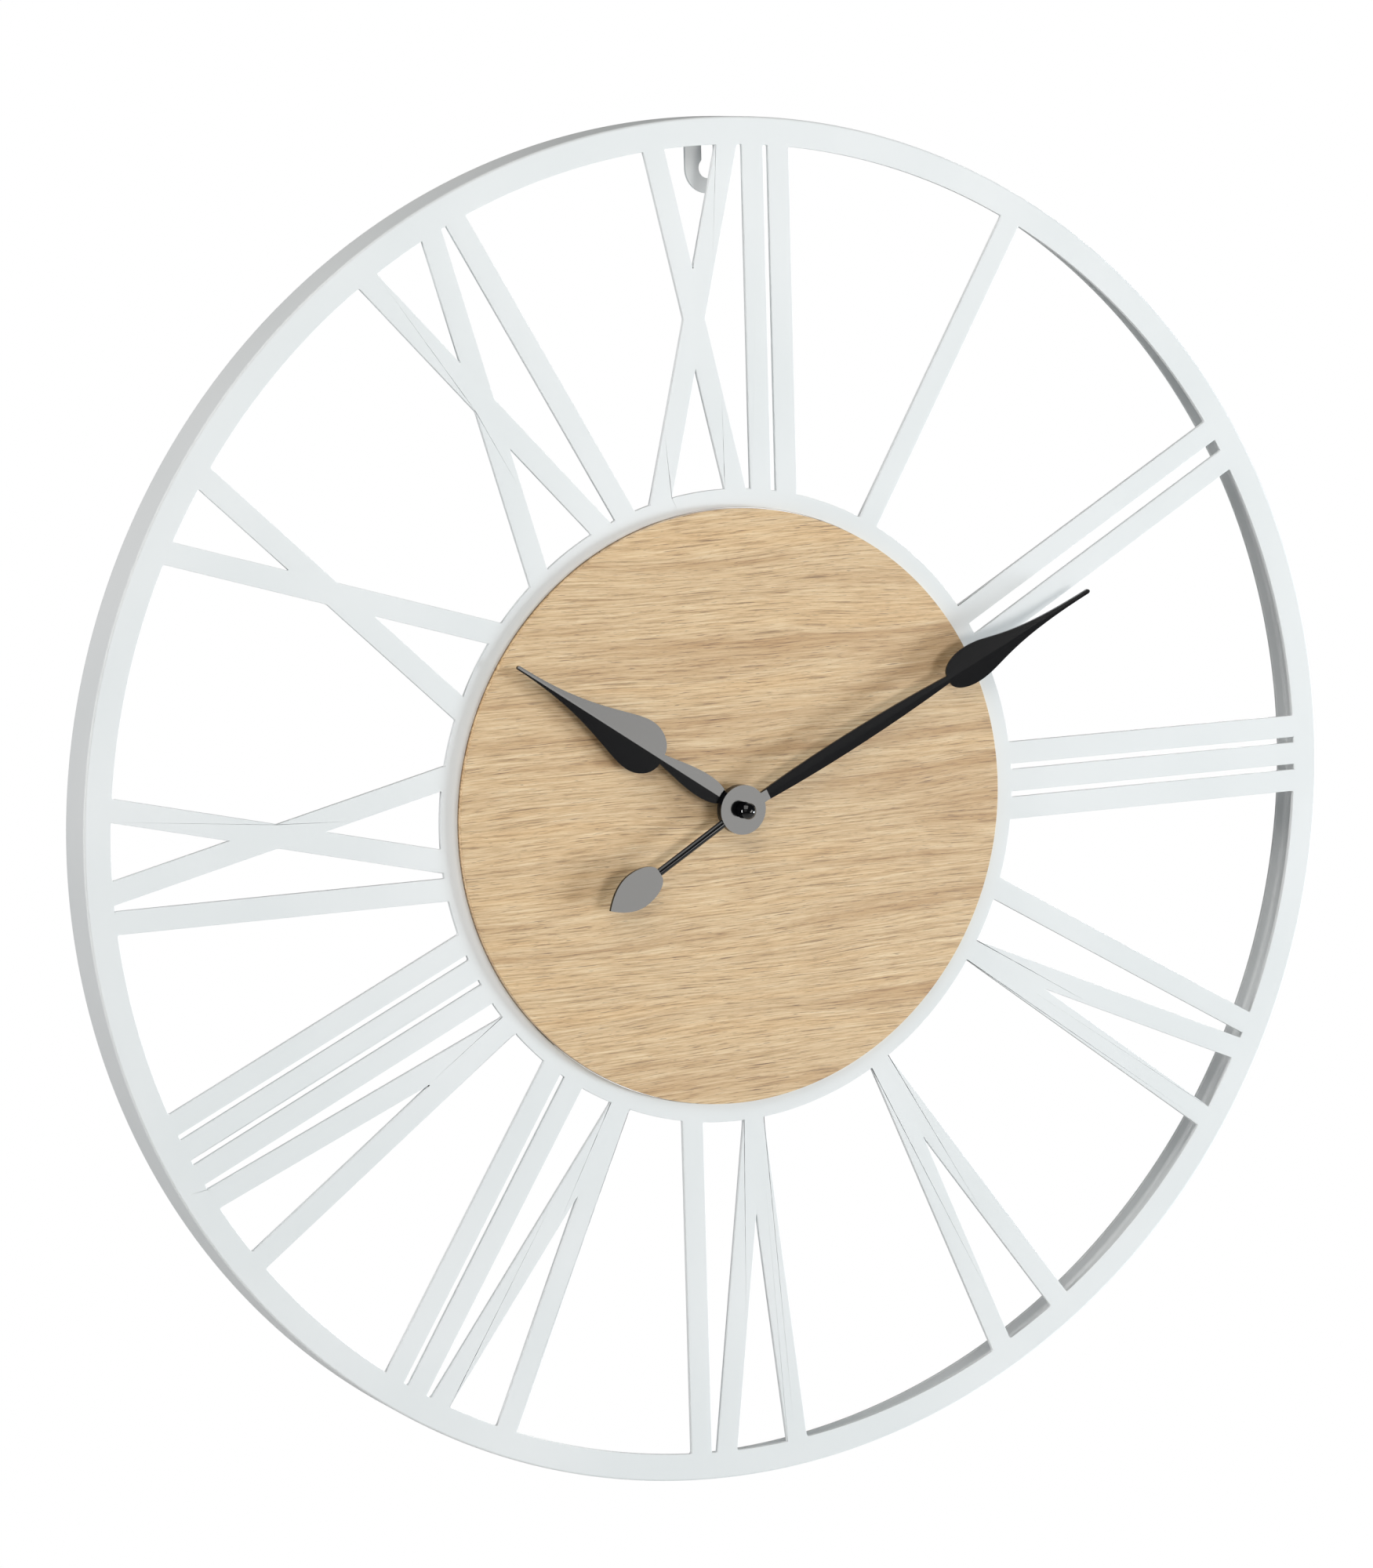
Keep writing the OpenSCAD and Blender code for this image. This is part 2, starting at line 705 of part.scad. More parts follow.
module setting_knob() {
    color("black") translate(motion_pos) difference() {
        slab(case_back - knob_gap, knob_t) difference() {
            circle(knob_r);
            for (i = [0 : knob_flutes - 1]) rotate([0, 0, 360 / knob_flutes * i])
                translate([knob_r + 0.35, 0]) circle(0.8, $fn = 24);
        }
        rod(knob_shaft_r, case_back - knob_gap - knob_t + 0.6, case_back, $fn = 32);
    }
}

module centre_wheel() {
    color("goldenrod") difference() {
        union() {
            slab(centre_wheel_z, wheel_t) gear_at(third_dir, centre_teeth, centre_mod, true);
            rod(core_r + 0.9, centre_wheel_z - wheel_t - side, centre_wheel_z + side, $fn = 48);
        }
        rod(core_r, centre_wheel_z - wheel_t - 1, centre_wheel_z + 1, $fn = 48);
    }
}

module third_wheel() {
    color("ivory") translate(third_pos) {
        slab(centre_wheel_z + side, centre_wheel_z + side - third_wheel_z + eps)
            gear_at(third_dir + 180, pinion_teeth, centre_mod, false);
        slab(third_wheel_z, wheel_t) gear_at(third_dir + 180, third_teeth, third_mod, true);
        rod(shaft_r, train_plate_z + side, third_wheel_z, $fn = 32);
        rod(pivot_r, train_plate_z - train_plate_t, third_boss_z + pivot_depth - 0.1, $fn = 32);
    }
}

module seconds_wheel() {
    color("ivory") {
        slab(third_wheel_z + side, third_wheel_z + side - seconds_wheel_z + eps)
            gear_at(third_dir, pinion_teeth, third_mod, false);
        slab(seconds_wheel_z, wheel_t) gear_at(step_dir, seconds_teeth, seconds_mod, true);
        rod(shaft_r, train_plate_z + side, seconds_wheel_z, $fn = 32);
        rod(pivot_r, train_plate_z - train_plate_t, arbor_end + 1, $fn = 32);
    }
}

module step_wheel() {
    color("ivory") translate(step_pos) {
        slab(seconds_wheel_z + side, seconds_wheel_z + side - step_wheel_z + eps)
            gear_at(step_dir + 180, pinion_teeth, seconds_mod, false);
        slab(step_wheel_z, wheel_t) gear_at(rotor_dir, step_teeth, step_mod, true);
        rod(shaft_r, train_plate_z + side, step_wheel_z, $fn = 32);
        rod(pivot_r, train_plate_z - train_plate_t, step_boss_z + pivot_depth - 0.1, $fn = 32);
    }
}

// Magnet of the stepping motor with its pinion
module rotor() {
    color("dimgray") translate(rotor_pos) {
        rod(magnet_r, magnet_top - magnet_t, magnet_top, $fn = 64);
        slab(step_wheel_z + side, wheel_t + 2 * side)
            gear_at(rotor_dir + 180, pinion_teeth, step_mod, false);
        rod(shaft_r, step_wheel_z - wheel_t - side, stator_z, $fn = 32);
        rod(pivot_r, train_plate_z - train_plate_t, rotor_boss_z + pivot_depth - 0.1, $fn = 32);
    }
}

// ---- hands ---------------------------------------------------------------------------

// A flat outline with a ridge along y, its facets falling away to both sides
module ridged(back, length) {
    ridge = hand_t - ridge_drop;
    foot = ridge - length / 4 * tan(facet_angle);
    intersection() {
        translate([0, 0, back]) linear_extrude(ridge) children();
        translate([0, 0, back]) rotate([-90, 0, 0]) linear_extrude(length)
            polygon([[0, -ridge], [length / 4, -foot], [-length / 4, -foot]]);
    }
}

// Right half of a spade: a round shoulder from the neck, then a hollow taper to the tip
function spade(neck, neck_half, wide, wide_half, tip, tip_half, lead, trail) = concat(
    [for (a = [0 : 10 : 80]) [neck_half + (wide_half - neck_half) * sin(a), wide - (wide - neck) * cos(a)]],
    curve([wide_half, wide], [wide_half, wide + lead], [tip_half, tip - tip_half - trail],
        [tip_half, tip - tip_half], 24),
    [for (a = [30 : 30 : 90]) [tip_half * cos(a), tip - tip_half + tip_half * sin(a)]]);

neck_half = 2.2;
leaf_half = 5.3;
hour_tip_half = 0.9;
hour_wide = hour_neck + 12.2;

// Neck of the hour hand swells like a leaf between boss and spade
function hour_leaf() = [for (i = [0 : 23]) let (t = i / 24)
    [neck_half + (leaf_half - neck_half) * sin(180 * pow(t, 0.62)),
        boss_d / 2 - 1 + t * (hour_neck - boss_d / 2 + 1)]];

module hour_hand() {
    color([0.08, 0.08, 0.09]) rotate([0, 0, -hour_angle]) difference() {
        union() {
            rod(boss_d / 2, hour_z, hour_top);
            ridged(hour_z, hour_len + 1) both_sides(concat(hour_leaf(),
                spade(hour_neck, neck_half, hour_wide, hour_half, hour_len, hour_tip_half, 11, 40)));
        }
        rod(tube_r, hour_z - 1, hour_top + 1);
    }
}

stem_half = 1.65;
root_half = 2.3;                            // flat neck between the minute boss and its ridged stem
root_end = boss_d / 2 + 2.9;
minute_tip_half = 0.95;
minute_wide = minute_stem + 13.6;
tail_rod_half = 1.9;
leaf_wide_half = 8.1;
tail_neck = tail_len - 28.1;
tail_wide = tail_len - 15.6;

module minute_blade() {
    both_sides(concat(
        curve([root_half, boss_d / 2 - 1], [4.4, minute_stem * 0.35], [4.2, minute_stem * 0.7],
            [stem_half, minute_stem], 20),
        spade(minute_stem, stem_half, minute_wide, minute_half, minute_len, minute_tip_half, 14, 48)));
}

// Flat leaf on the end of the tail, a round shoulder and then a pointed arch
module tail_leaf() {
    both_sides(concat(
        [for (a = [0 : 10 : 80]) [tail_rod_half * 0.8 + (leaf_wide_half - tail_rod_half * 0.8) * sin(a),
            tail_wide - (tail_wide - tail_neck) * cos(a)]],
        [for (i = [0 : 12]) let (t = i / 12)
            [leaf_wide_half * (1 - t * t), tail_wide + t * (tail_len - tail_wide)]]));
}

module minute_hand() {
    color([0.08, 0.08, 0.09]) rotate([0, 0, -minute_angle]) difference() {
        union() {
            rod(boss_d / 2, minute_z, minute_top);
            slab(minute_top, hand_t) translate([-root_half, 0]) square([2 * root_half, root_end]);
            ridged(minute_z, minute_len + 1) minute_blade();
            rotate([0, 0, 180 + tail_turn]) {
                slab(minute_top - ridge_drop, hand_t - ridge_drop) tail_leaf();
                intersection() {
                    translate([0, boss_d / 2 - 1, minute_top - ridge_drop - tail_rod_half])
                        rotate([-90, 0, 0])
                            cylinder(r = tail_rod_half, h = tail_neck - boss_d / 2 + 3, $fn = 48);
                    translate([-tail_rod_half, 0, minute_z])
                        cube([2 * tail_rod_half, tail_len, hand_t]);
                }
            }
        }
        rod(arbor_r, minute_z - 1, minute_top + 1);
        rod(cap_hole_r, cap_z, minute_top + 1);
    }
}

// Closed nut that hides the end of the arbor
module cap_nut() {
    color([0.05, 0.05, 0.05]) difference() {
        union() {
            rod(cap_d / 2, cap_z, minute_top + cap_side);
            translate([0, 0, minute_top + cap_side]) rotate_extrude() intersection() {
                translate([0, -dome_drop()]) circle(dome_r(), $fn = 96);
                square([cap_d, cap_dome]);
            }
        }
        rod(arbor_r, cap_z - 1, arbor_top);
    }
}

// The dome is a cap of a sphere of this radius, whose centre lies this far below the rim
function dome_r() = (cap_d * cap_d / 4 + cap_dome * cap_dome) / (2 * cap_dome);
function dome_drop() = dome_r() - cap_dome;

// ---- nodes ---------------------------------------------------------------------------

stand_up() {
    front_ring();
    numeral(1);  // numeral_01
    numeral(2);  // numeral_02
    numeral(3);  // numeral_03
    numeral(4);  // numeral_04
    numeral(5);  // numeral_05
    numeral(6);  // numeral_06
    numeral(7);  // numeral_07
    numeral(8);  // numeral_08
    numeral(9);  // numeral_09
    numeral(10);  // numeral_10
    numeral(11);  // numeral_11
    numeral(12);  // numeral_12
    hub_ring();
    rim_band();
    hanger_tab();
    disc_lugs();
    lug_screws();
    oak_disc();
    rubber_gasket();
    movement_case();
    movement_cover();
    threaded_bush();
    dial_washer();
    hex_nut();
    train_plate();
    circuit_board();
    chip_cap();
    quartz_crystal();
    coil_bobbin();
    coil_winding();
    stator();
    positive_contact();
    negative_contact();
    battery();
    rotor();
    step_wheel();
    seconds_wheel();
    third_wheel();
    centre_wheel();
    minute_arbor();
    motion_wheel();
    setting_knob();
    hour_wheel();
    hour_hand();
    minute_hand();
    cap_nut();
}
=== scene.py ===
import math

import bmesh
import bpy
from mathutils import Matrix, Quaternion, Vector


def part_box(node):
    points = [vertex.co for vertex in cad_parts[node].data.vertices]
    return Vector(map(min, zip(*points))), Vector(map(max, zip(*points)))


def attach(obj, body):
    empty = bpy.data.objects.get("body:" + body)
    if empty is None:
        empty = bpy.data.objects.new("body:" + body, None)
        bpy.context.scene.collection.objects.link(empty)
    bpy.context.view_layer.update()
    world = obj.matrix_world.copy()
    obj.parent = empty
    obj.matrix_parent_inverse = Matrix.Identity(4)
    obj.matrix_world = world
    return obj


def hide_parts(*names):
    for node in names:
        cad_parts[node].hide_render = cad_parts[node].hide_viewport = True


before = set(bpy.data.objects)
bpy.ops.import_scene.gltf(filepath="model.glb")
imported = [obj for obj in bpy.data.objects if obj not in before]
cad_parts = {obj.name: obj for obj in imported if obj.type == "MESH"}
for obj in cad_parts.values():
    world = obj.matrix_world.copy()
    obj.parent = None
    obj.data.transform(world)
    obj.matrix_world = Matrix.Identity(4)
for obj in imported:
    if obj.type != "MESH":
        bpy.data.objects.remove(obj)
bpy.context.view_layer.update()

# ---- Cut plate ----------------------------------------------------------------------
# The clock's face is one sheet of 2 mm mild steel. Outer ring, numerals and the ring
# round the disc are laser-cut in one go, so they share one surface with rounded inside
# corners and eased edges, and all of it is powder-coated white.

MM = 0.001
ring_low, ring_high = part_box("front_ring")
RIM_R = 0.300
RING_W = 12 * MM
FACE_R = RIM_R - RING_W
DISC_RING_OUT = 0.1395
DISC_RING_IN = 0.1313
PLATE_T = ring_high.y - ring_low.y
CORNER_R = 1 * MM
SHORT_EDGE_SHARE = 0.42
RIM_EDGE_R = 1 * MM
CUT_EDGE_R = 0.3 * MM
ARC_STEPS = 480
DIAL = Vector((0, ring_low.y, (ring_low.z + ring_high.z) / 2))

# The dial's own frame has x to the right, y up and z towards the viewer
STAND_UP = Matrix.Translation(DIAL) @ Matrix.Rotation(math.radians(90), 4, "X")

# Strokes stand 2.5 mm apart, or farther in the II, and those of the VII and VIII lean
NUMERALS = ["I", "II", "III", "IV", "V", "VI", "VII", "VIII", "IX", "X", "XI", "XII"]
STROKE_W = 10 * MM
STROKE_GAP = 2.5 * MM
PAIR_GAP = 5.7 * MM
LETTER_HALF = 17.5 * MM
LEANS = {"VII": 1.75, "VIII": 4.75}


def strokes(numeral):
    """Where each stroke of a numeral stands on the disc ring and where it meets the rim."""
    gap = STROKE_W + (PAIR_GAP if numeral == "II" else STROKE_GAP)
    widths = [0 if letter == "I" else 2 * LETTER_HALF for letter in numeral]
    run = math.tan(math.radians(LEANS.get(numeral, 0))) * (FACE_R - DISC_RING_OUT)
    left = -(sum(widths) + gap * (len(numeral) - 1)) / 2
    found = []
    for letter, width in zip(numeral, widths):
        middle = left + width / 2
        if letter == "I":
            found.append((middle - run, middle))
        if letter == "V":
            found += [(middle, middle - LETTER_HALF), (middle, middle + LETTER_HALF)]
        if letter == "X":
            found += [(middle - LETTER_HALF, middle + LETTER_HALF)]
            found += [(middle + LETTER_HALF, middle - LETTER_HALF)]
        left += width + gap
    return found


def stroke_lines():
    """Every stroke as a point on its centre line, its direction and the direction across it."""
    lines = []
    for hour, numeral in enumerate(NUMERALS, 1):
        turn = Matrix.Rotation(math.radians(-30 * hour), 3, "Z")
        for foot, head in strokes(numeral):
            along = Vector((head - foot, FACE_R - DISC_RING_OUT, 0)).normalized()
            across = Vector((along.y, -along.x, 0))
            lines.append((turn @ Vector((foot, DISC_RING_OUT, 0)), turn @ along, turn @ across))
    return lines


def in_window_band(face):
    """True between the disc ring and the outer ring, where the windows are."""
    return DISC_RING_OUT < face.calc_center_median().length < FACE_R


def finish_piece(name, bm, place, material, body="clock", nodes=(), smooth=30):
    """Turns a bmesh into a piece: puts it in place, points its faces outwards, names and mounts it."""
    bmesh.ops.remove_doubles(bm, verts=bm.verts, dist=1e-7)
    bmesh.ops.transform(bm, matrix=place, verts=bm.verts)
    bmesh.ops.recalc_face_normals(bm, faces=bm.faces)
    mesh = bpy.data.meshes.new(name)
    bm.to_mesh(mesh)
    bm.free()
    piece = bpy.data.objects.new(name, mesh)
    bpy.context.scene.collection.objects.link(piece)
    mesh.materials.append(material)
    mesh.shade_smooth()
    mesh.set_sharp_from_angle(angle=math.radians(smooth))
    even = piece.modifiers.new("even shading", "WEIGHTED_NORMAL")
    even.keep_sharp = True
    even.weight = 100
    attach(piece, body)
    if nodes:
        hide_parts(*nodes)


def linear(hex_colour):
    """A linear colour from an sRGB hex value."""
    parts = [int(hex_colour[i:i + 2], 16) / 255 for i in (1, 3, 5)]
    return [p / 12.92 if p <= 0.04045 else ((p + 0.055) / 1.055) ** 2.4 for p in parts] + [1]


def add(tree, kind, settings=None, **links):
    """Adds a node with its settings, its stops of (place, hex colour), and its inputs linked or set."""
    made = tree.nodes.new(kind)
    settings = dict(settings or {})
    if "stops" in settings:
        made.color_ramp.interpolation = settings.pop("interpolation", "LINEAR")
        elements = made.color_ramp.elements
        for number, (place, colour) in enumerate(settings.pop("stops")):
            stop = elements[number] if number < len(elements) else elements.new(place)
            stop.position = place
            stop.color = linear(colour)
    for key, value in settings.items():
        setattr(made, key, value)
    for key, value in links.items():
        name = key.replace("_", " ")
        socket = made.inputs[int(key[1:])] if key[0] == "i" and key[1:].isdigit() else made.inputs[name]
        if isinstance(value, bpy.types.NodeSocket):
            tree.links.new(value, socket)
        else:
            socket.default_value = value
    return made


def new_material(name):
    """An empty material: its tree, its shader and the place on the piece in metres."""
    material = bpy.data.materials.new(name)
    material.use_nodes = True
    tree = material.node_tree
    shader = tree.nodes["Principled BSDF"]
    return material, tree, shader, add(tree, "ShaderNodeTexCoord").outputs["Object"]


def white_powder_coat():
    """Polyester powder, sprayed and baked: satin, with the faint orange peel of melted grains."""
    material, tree, shader, place = new_material("white_powder_coat")
    shader.inputs["Roughness"].default_value = 0.46
    shader.inputs["Specular IOR Level"].default_value = 0.4
    peel = add(tree, "ShaderNodeTexNoise", Vector=place, Scale=1 / (2.5 * MM), Detail=1.0, Roughness=0.5)
    cloud = add(tree, "ShaderNodeTexNoise", Vector=place, Scale=1 / (90 * MM), Detail=2.0, Roughness=0.5)
    tint = add(tree, "ShaderNodeValToRGB", {"stops": [(0.35, "#e4e7e8"), (0.65, "#e9ebec")]},
               Fac=cloud.outputs["Fac"]).outputs["Color"]
    bump = add(tree, "ShaderNodeBump", Height=peel.outputs["Fac"], Strength=0.02, Distance=0.2 * MM)
    tree.links.new(tint, shader.inputs["Base Color"])
    tree.links.new(bump.outputs["Normal"], shader.inputs["Normal"])
    return material


POWDER_COAT = white_powder_coat()

plate = bmesh.new()
around = [plate.verts.new((r, 0, 0)) for r in (DISC_RING_IN, DISC_RING_OUT, FACE_R, RIM_R)]
spokes = [plate.edges.new(pair) for pair in zip(around, around[1:])]
bmesh.ops.spin(plate, geom=around + spokes, cent=(0, 0, 0), axis=(0, 0, 1), angle=math.tau,
               steps=ARC_STEPS, use_merge=True)
LINES = stroke_lines()
for start, along, across in LINES:
    for side in (-1, 1):
        near = [f for f in plate.faces if in_window_band(f)
                and abs((f.calc_center_median() - start).dot(across)) < 4 * STROKE_W
                and f.calc_center_median().dot(along) > 0]
        edges = list({e for f in near for e in f.edges})
        verts = list({v for f in near for v in f.verts})
        bmesh.ops.bisect_plane(plate, geom=near + edges + verts, dist=1e-7,
                               plane_co=start + across * (side * STROKE_W / 2), plane_no=across)
windows = [f for f in plate.faces if in_window_band(f) and not any(
    abs((f.calc_center_median() - start).dot(across)) < STROKE_W / 2
    and f.calc_center_median().dot(along) > 0 for start, along, across in LINES)]
bmesh.ops.delete(plate, geom=windows, context="FACES")
bmesh.ops.remove_doubles(plate, verts=plate.verts, dist=1e-6)

CORNER_TURN = math.radians(8)


def is_corner(vert):
    """True where the outline of a window turns by more than the arcs do from step to step."""
    outline = [e for e in vert.link_edges if e.is_boundary]
    if len(outline) != 2:
        return False
    one, other = (e.other_vert(vert).co - vert.co for e in outline)
    return one.angle(-other) > CORNER_TURN


# The laser leaves a 1 mm radius in every inside corner, so points beside a corner give way to it
corners = [v for v in plate.verts if FACE_R + MM > v.co.length > DISC_RING_OUT - MM and is_corner(v)]
crowding = {e.other_vert(v) for v in corners for e in v.link_edges
            if e.is_boundary and e.calc_length() < 2 * CORNER_R}
bmesh.ops.dissolve_verts(plate, verts=list(crowding - set(corners)))
bmesh.ops.recalc_face_normals(plate, faces=plate.faces)
if plate.faces[0].normal.z < 0:
    bmesh.ops.reverse_faces(plate, faces=plate.faces)
bmesh.ops.solidify(plate, geom=plate.faces, thickness=PLATE_T)
top = max(v.co.z for v in plate.verts)
bmesh.ops.translate(plate, vec=(0, 0, -top), verts=plate.verts)


def is_flat(face):
    """True on the front and the back of the sheet."""
    return abs(face.normal.z) > 0.99


bmesh.ops.recalc_face_normals(plate, faces=plate.faces)
upright = [e for e in plate.edges
           if len(e.link_faces) == 2 and abs(e.verts[0].co.z - e.verts[1].co.z) > PLATE_T / 2
           and not e.is_convex and e.calc_face_angle(0) > CORNER_TURN]
for edge in upright:
    shortest = min(e.calc_length() for v in edge.verts for e in v.link_edges if e is not edge)
    bmesh.ops.bevel(plate, geom=[edge], offset=min(CORNER_R, SHORT_EDGE_SHARE * shortest),
                    offset_type="OFFSET", segments=4, profile=0.5, affect="EDGES", material=-1,
                    clamp_overlap=False)
rims = [e for e in plate.edges
        if len(e.link_faces) == 2 and is_flat(e.link_faces[0]) != is_flat(e.link_faces[1])]
outer = [e for e in rims
         if e.verts[0].co.z > -PLATE_T / 2 and min(v.co.length for v in e.verts) > RIM_R - MM]
inner = [e for e in rims if max(v.co.xy.length for v in e.verts) < RIM_R - MM]
bmesh.ops.bevel(plate, geom=outer, offset=RIM_EDGE_R, offset_type="OFFSET", segments=5, profile=0.5,
                affect="EDGES", material=-1)
inner = [e for e in inner if e.is_valid]
bmesh.ops.bevel(plate, geom=inner, offset=CUT_EDGE_R, offset_type="OFFSET", segments=2, profile=0.5,
                affect="EDGES", material=-1, loop_slide=False, clamp_overlap=False)
finish_piece("cut_plate", plate, STAND_UP, POWDER_COAT,
             nodes=["front_ring", "hub_ring"] + ["numeral_%02d" % hour for hour in range(1, 13)])

# ---- Rim ----------------------------------------------------------------------------
# A strip of 1.5 mm steel, rolled into a hoop with its rear edge turned inwards as a lip,
# then welded edge-on to the back of the cut plate and coated with it.

RIM_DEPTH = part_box("rim_band")[1].y - ring_low.y
BAND_T = 1.5 * MM
LIP_R = 0.2937
LIP_EASE = 0.35 * MM
BEND = 1.5 * MM


def arc(centre, radius, start, end, steps):
    """Points round part of a circle, in the plane of a section."""
    angles = [math.radians(start + (end - start) * i / steps) for i in range(steps + 1)]
    return [(centre[0] + radius * math.cos(a), centre[1] + radius * math.sin(a)) for a in angles]


def turned(section, steps=360):
    """A solid of revolution about the hand axis from a closed section of (radius, height) points."""
    bm = bmesh.new()
    verts = [bm.verts.new((r, 0, z)) for r, z in section]
    edges = [bm.edges.new(pair) for pair in zip(verts, verts[1:] + verts[:1])]
    bmesh.ops.spin(bm, geom=verts + edges, cent=(0, 0, 0), axis=(0, 0, 1), angle=math.tau,
                   steps=steps, use_merge=True)
    return bm


bend_centre = (RIM_R - BAND_T - BEND, -RIM_DEPTH + BAND_T + BEND)
section = [(RIM_R, -PLATE_T)]
section += arc(bend_centre, BEND + BAND_T, 0, -90, 10)
section += arc((LIP_R + LIP_EASE, -RIM_DEPTH + LIP_EASE), LIP_EASE, -90, -180, 4)
section += arc((LIP_R + LIP_EASE, -RIM_DEPTH + BAND_T - LIP_EASE), LIP_EASE, 180, 90, 4)
section += arc(bend_centre, BEND, -90, 0, 8)
section += [(RIM_R - BAND_T, -PLATE_T)]
finish_piece("rim_hoop", turned(section, ARC_STEPS), STAND_UP, POWDER_COAT,
             nodes=["rim_band"])

# ---- Hanger and lugs ----------------------------------------------------------------
# The keyhole tab and the four lugs behind the disc are small laser-cut plates, edge-
# welded to the frame before coating, so they carry the same white powder.

TAB_EASE = 0.25 * MM
FLAT_TURN = math.radians(0.4)
SHARP_TURN = math.radians(35)


def joined_copy(node):
    """A copy of a CAD piece with its flat faces joined up."""
    bm = bmesh.new()
    bm.from_mesh(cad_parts[node].data)
    bmesh.ops.remove_doubles(bm, verts=bm.verts, dist=1e-6)
    bmesh.ops.dissolve_limit(bm, angle_limit=FLAT_TURN, verts=bm.verts, edges=bm.edges)
    return bm


def ease_edges(bm, radius, segments=2, choose=None):
    """Rounds over the sharp corners, or those of them that are chosen."""
    corners = [e for e in bm.edges if len(e.link_faces) == 2 and e.calc_face_angle(0) > SHARP_TURN
               and (choose is None or choose(e))]
    bmesh.ops.bevel(bm, geom=corners, offset=radius, offset_type="OFFSET", segments=segments, profile=0.5,
                    affect="EDGES", material=-1, clamp_overlap=True)


def eased_copy(node, name, radius, material, body="clock", segments=2, choose=None):
    """A CAD piece with its corners rounded over, standing for the CAD one."""
    bm = joined_copy(node)
    ease_edges(bm, radius, segments, choose)
    finish_piece(name, bm, Matrix(), material, body, [node])


eased_copy("hanger_tab", "keyhole_tab", TAB_EASE, POWDER_COAT)
eased_copy("disc_lugs", "welded_lugs", TAB_EASE, POWDER_COAT)

# ---- Oak disc -----------------------------------------------------------------------
# A disc of fibreboard faced with oak veneer: the grain runs straight across the dial, fine
# and dense, with darker growth lines and short open pores, under a matt lacquer.

disc_low, disc_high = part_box("oak_disc")
DISC_R = (disc_high.x - disc_low.x) / 2
DISC_TOP = ring_low.y - disc_low.y
DISC_BACK = ring_low.y - disc_high.y
BUSH_HOLE = 4.2 * MM
DISC_EASE = 0.25 * MM
OAK_DARK = "#94734a"
OAK_MID = "#d3b182"
OAK_LIGHT = "#ebd2aa"


def lacquered_oak():
    """Oak veneer: growth lines 1 to 3 mm apart, pores a few tenths wide, all drawn along the grain."""
    material, tree, shader, place = new_material("lacquered_oak")

    def grain(length, width, detail=2.0, rough=0.5, source=place):
        """Noise drawn out along the grain: length and width of its patches in metres."""
        stretch = add(tree, "ShaderNodeMapping", Vector=source,
                      Scale=(1 / length, 1 / (4 * width), 1 / width))
        return add(tree, "ShaderNodeTexNoise", Vector=stretch.outputs["Vector"], Scale=1.0, Detail=detail,
                   Roughness=rough).outputs["Fac"]

    # The growth lines wander up and down by a few millimetres over the width of a hand
    sway = add(tree, "ShaderNodeMath", {"operation": "MULTIPLY_ADD"}, i0=grain(160 * MM, 40 * MM), i1=12 * MM,
               i2=-6 * MM)
    lift = add(tree, "ShaderNodeCombineXYZ", Z=sway.outputs["Value"])
    wavy = add(tree, "ShaderNodeVectorMath", {"operation": "ADD"}, i0=place,
               i1=lift.outputs["Vector"]).outputs["Vector"]
    broad = grain(180 * MM, 9 * MM, 2.0, 0.5, wavy)
    lines = grain(30 * MM, 1 * MM, 4.0, 0.68, wavy)
    fibres = grain(10 * MM, 0.34 * MM, 3.0, 0.65, wavy)
    streaks = grain(17 * MM, 0.5 * MM, 2.0, 0.5, wavy)
    pores = grain(5 * MM, 0.28 * MM, 1.0, 0.5, wavy)
    colour = add(tree, "ShaderNodeValToRGB",
                 {"stops": [(0.30, OAK_DARK), (0.45, OAK_MID), (0.68, OAK_LIGHT)]},
                 Fac=lines).outputs["Color"]
    for pattern, share, stops in (
            (broad, 0.7, [(0.32, "#d9c3a0"), (0.52, "#ffffff"), (0.74, "#fff6e6")]),
            (fibres, 0.6, [(0.30, "#c7aa80"), (0.50, "#ffffff")]),
            (streaks, 0.75, [(0.30, "#7d5626"), (0.37, "#ffffff")]),
            (pores, 0.6, [(0.25, "#6b4a24"), (0.33, "#ffffff")])):
        tint = add(tree, "ShaderNodeValToRGB", {"stops": stops}, Fac=pattern).outputs["Color"]
        colour = add(tree, "ShaderNodeMix", {"data_type": "RGBA", "blend_type": "MULTIPLY"},
                     i0=share, i6=colour, i7=tint).outputs[2]
    tree.links.new(colour, shader.inputs["Base Color"])
    height = add(tree, "ShaderNodeMath", {"operation": "ADD"}, i0=lines, i1=streaks)
    bump = add(tree, "ShaderNodeBump", Height=height.outputs["Value"], Strength=0.5, Distance=0.12 * MM)
    tree.links.new(bump.outputs["Normal"], shader.inputs["Normal"])
    shader.inputs["Roughness"].default_value = 0.6
    shader.inputs["Specular IOR Level"].default_value = 1.0
    shader.inputs["Sheen Weight"].default_value = 1.0
    shader.inputs["Sheen Roughness"].default_value = 0.3
    return material


section = [(BUSH_HOLE, DISC_BACK), (BUSH_HOLE, DISC_TOP)]
section += arc((DISC_R - DISC_EASE, DISC_TOP - DISC_EASE), DISC_EASE, 90, 0, 3)
section += arc((DISC_R - DISC_EASE, DISC_BACK + DISC_EASE), DISC_EASE, 0, -90, 3)
finish_piece("oak_face", turned(section), STAND_UP, lacquered_oak(), nodes=["oak_disc"])

# ---- Hands --------------------------------------------------------------------------
# Both hands are pressed from steel strip: a flat round boss, a blade folded to a low
# ridge, and on the minute hand a tail that ends in a flat leaf. They are lacquered black.

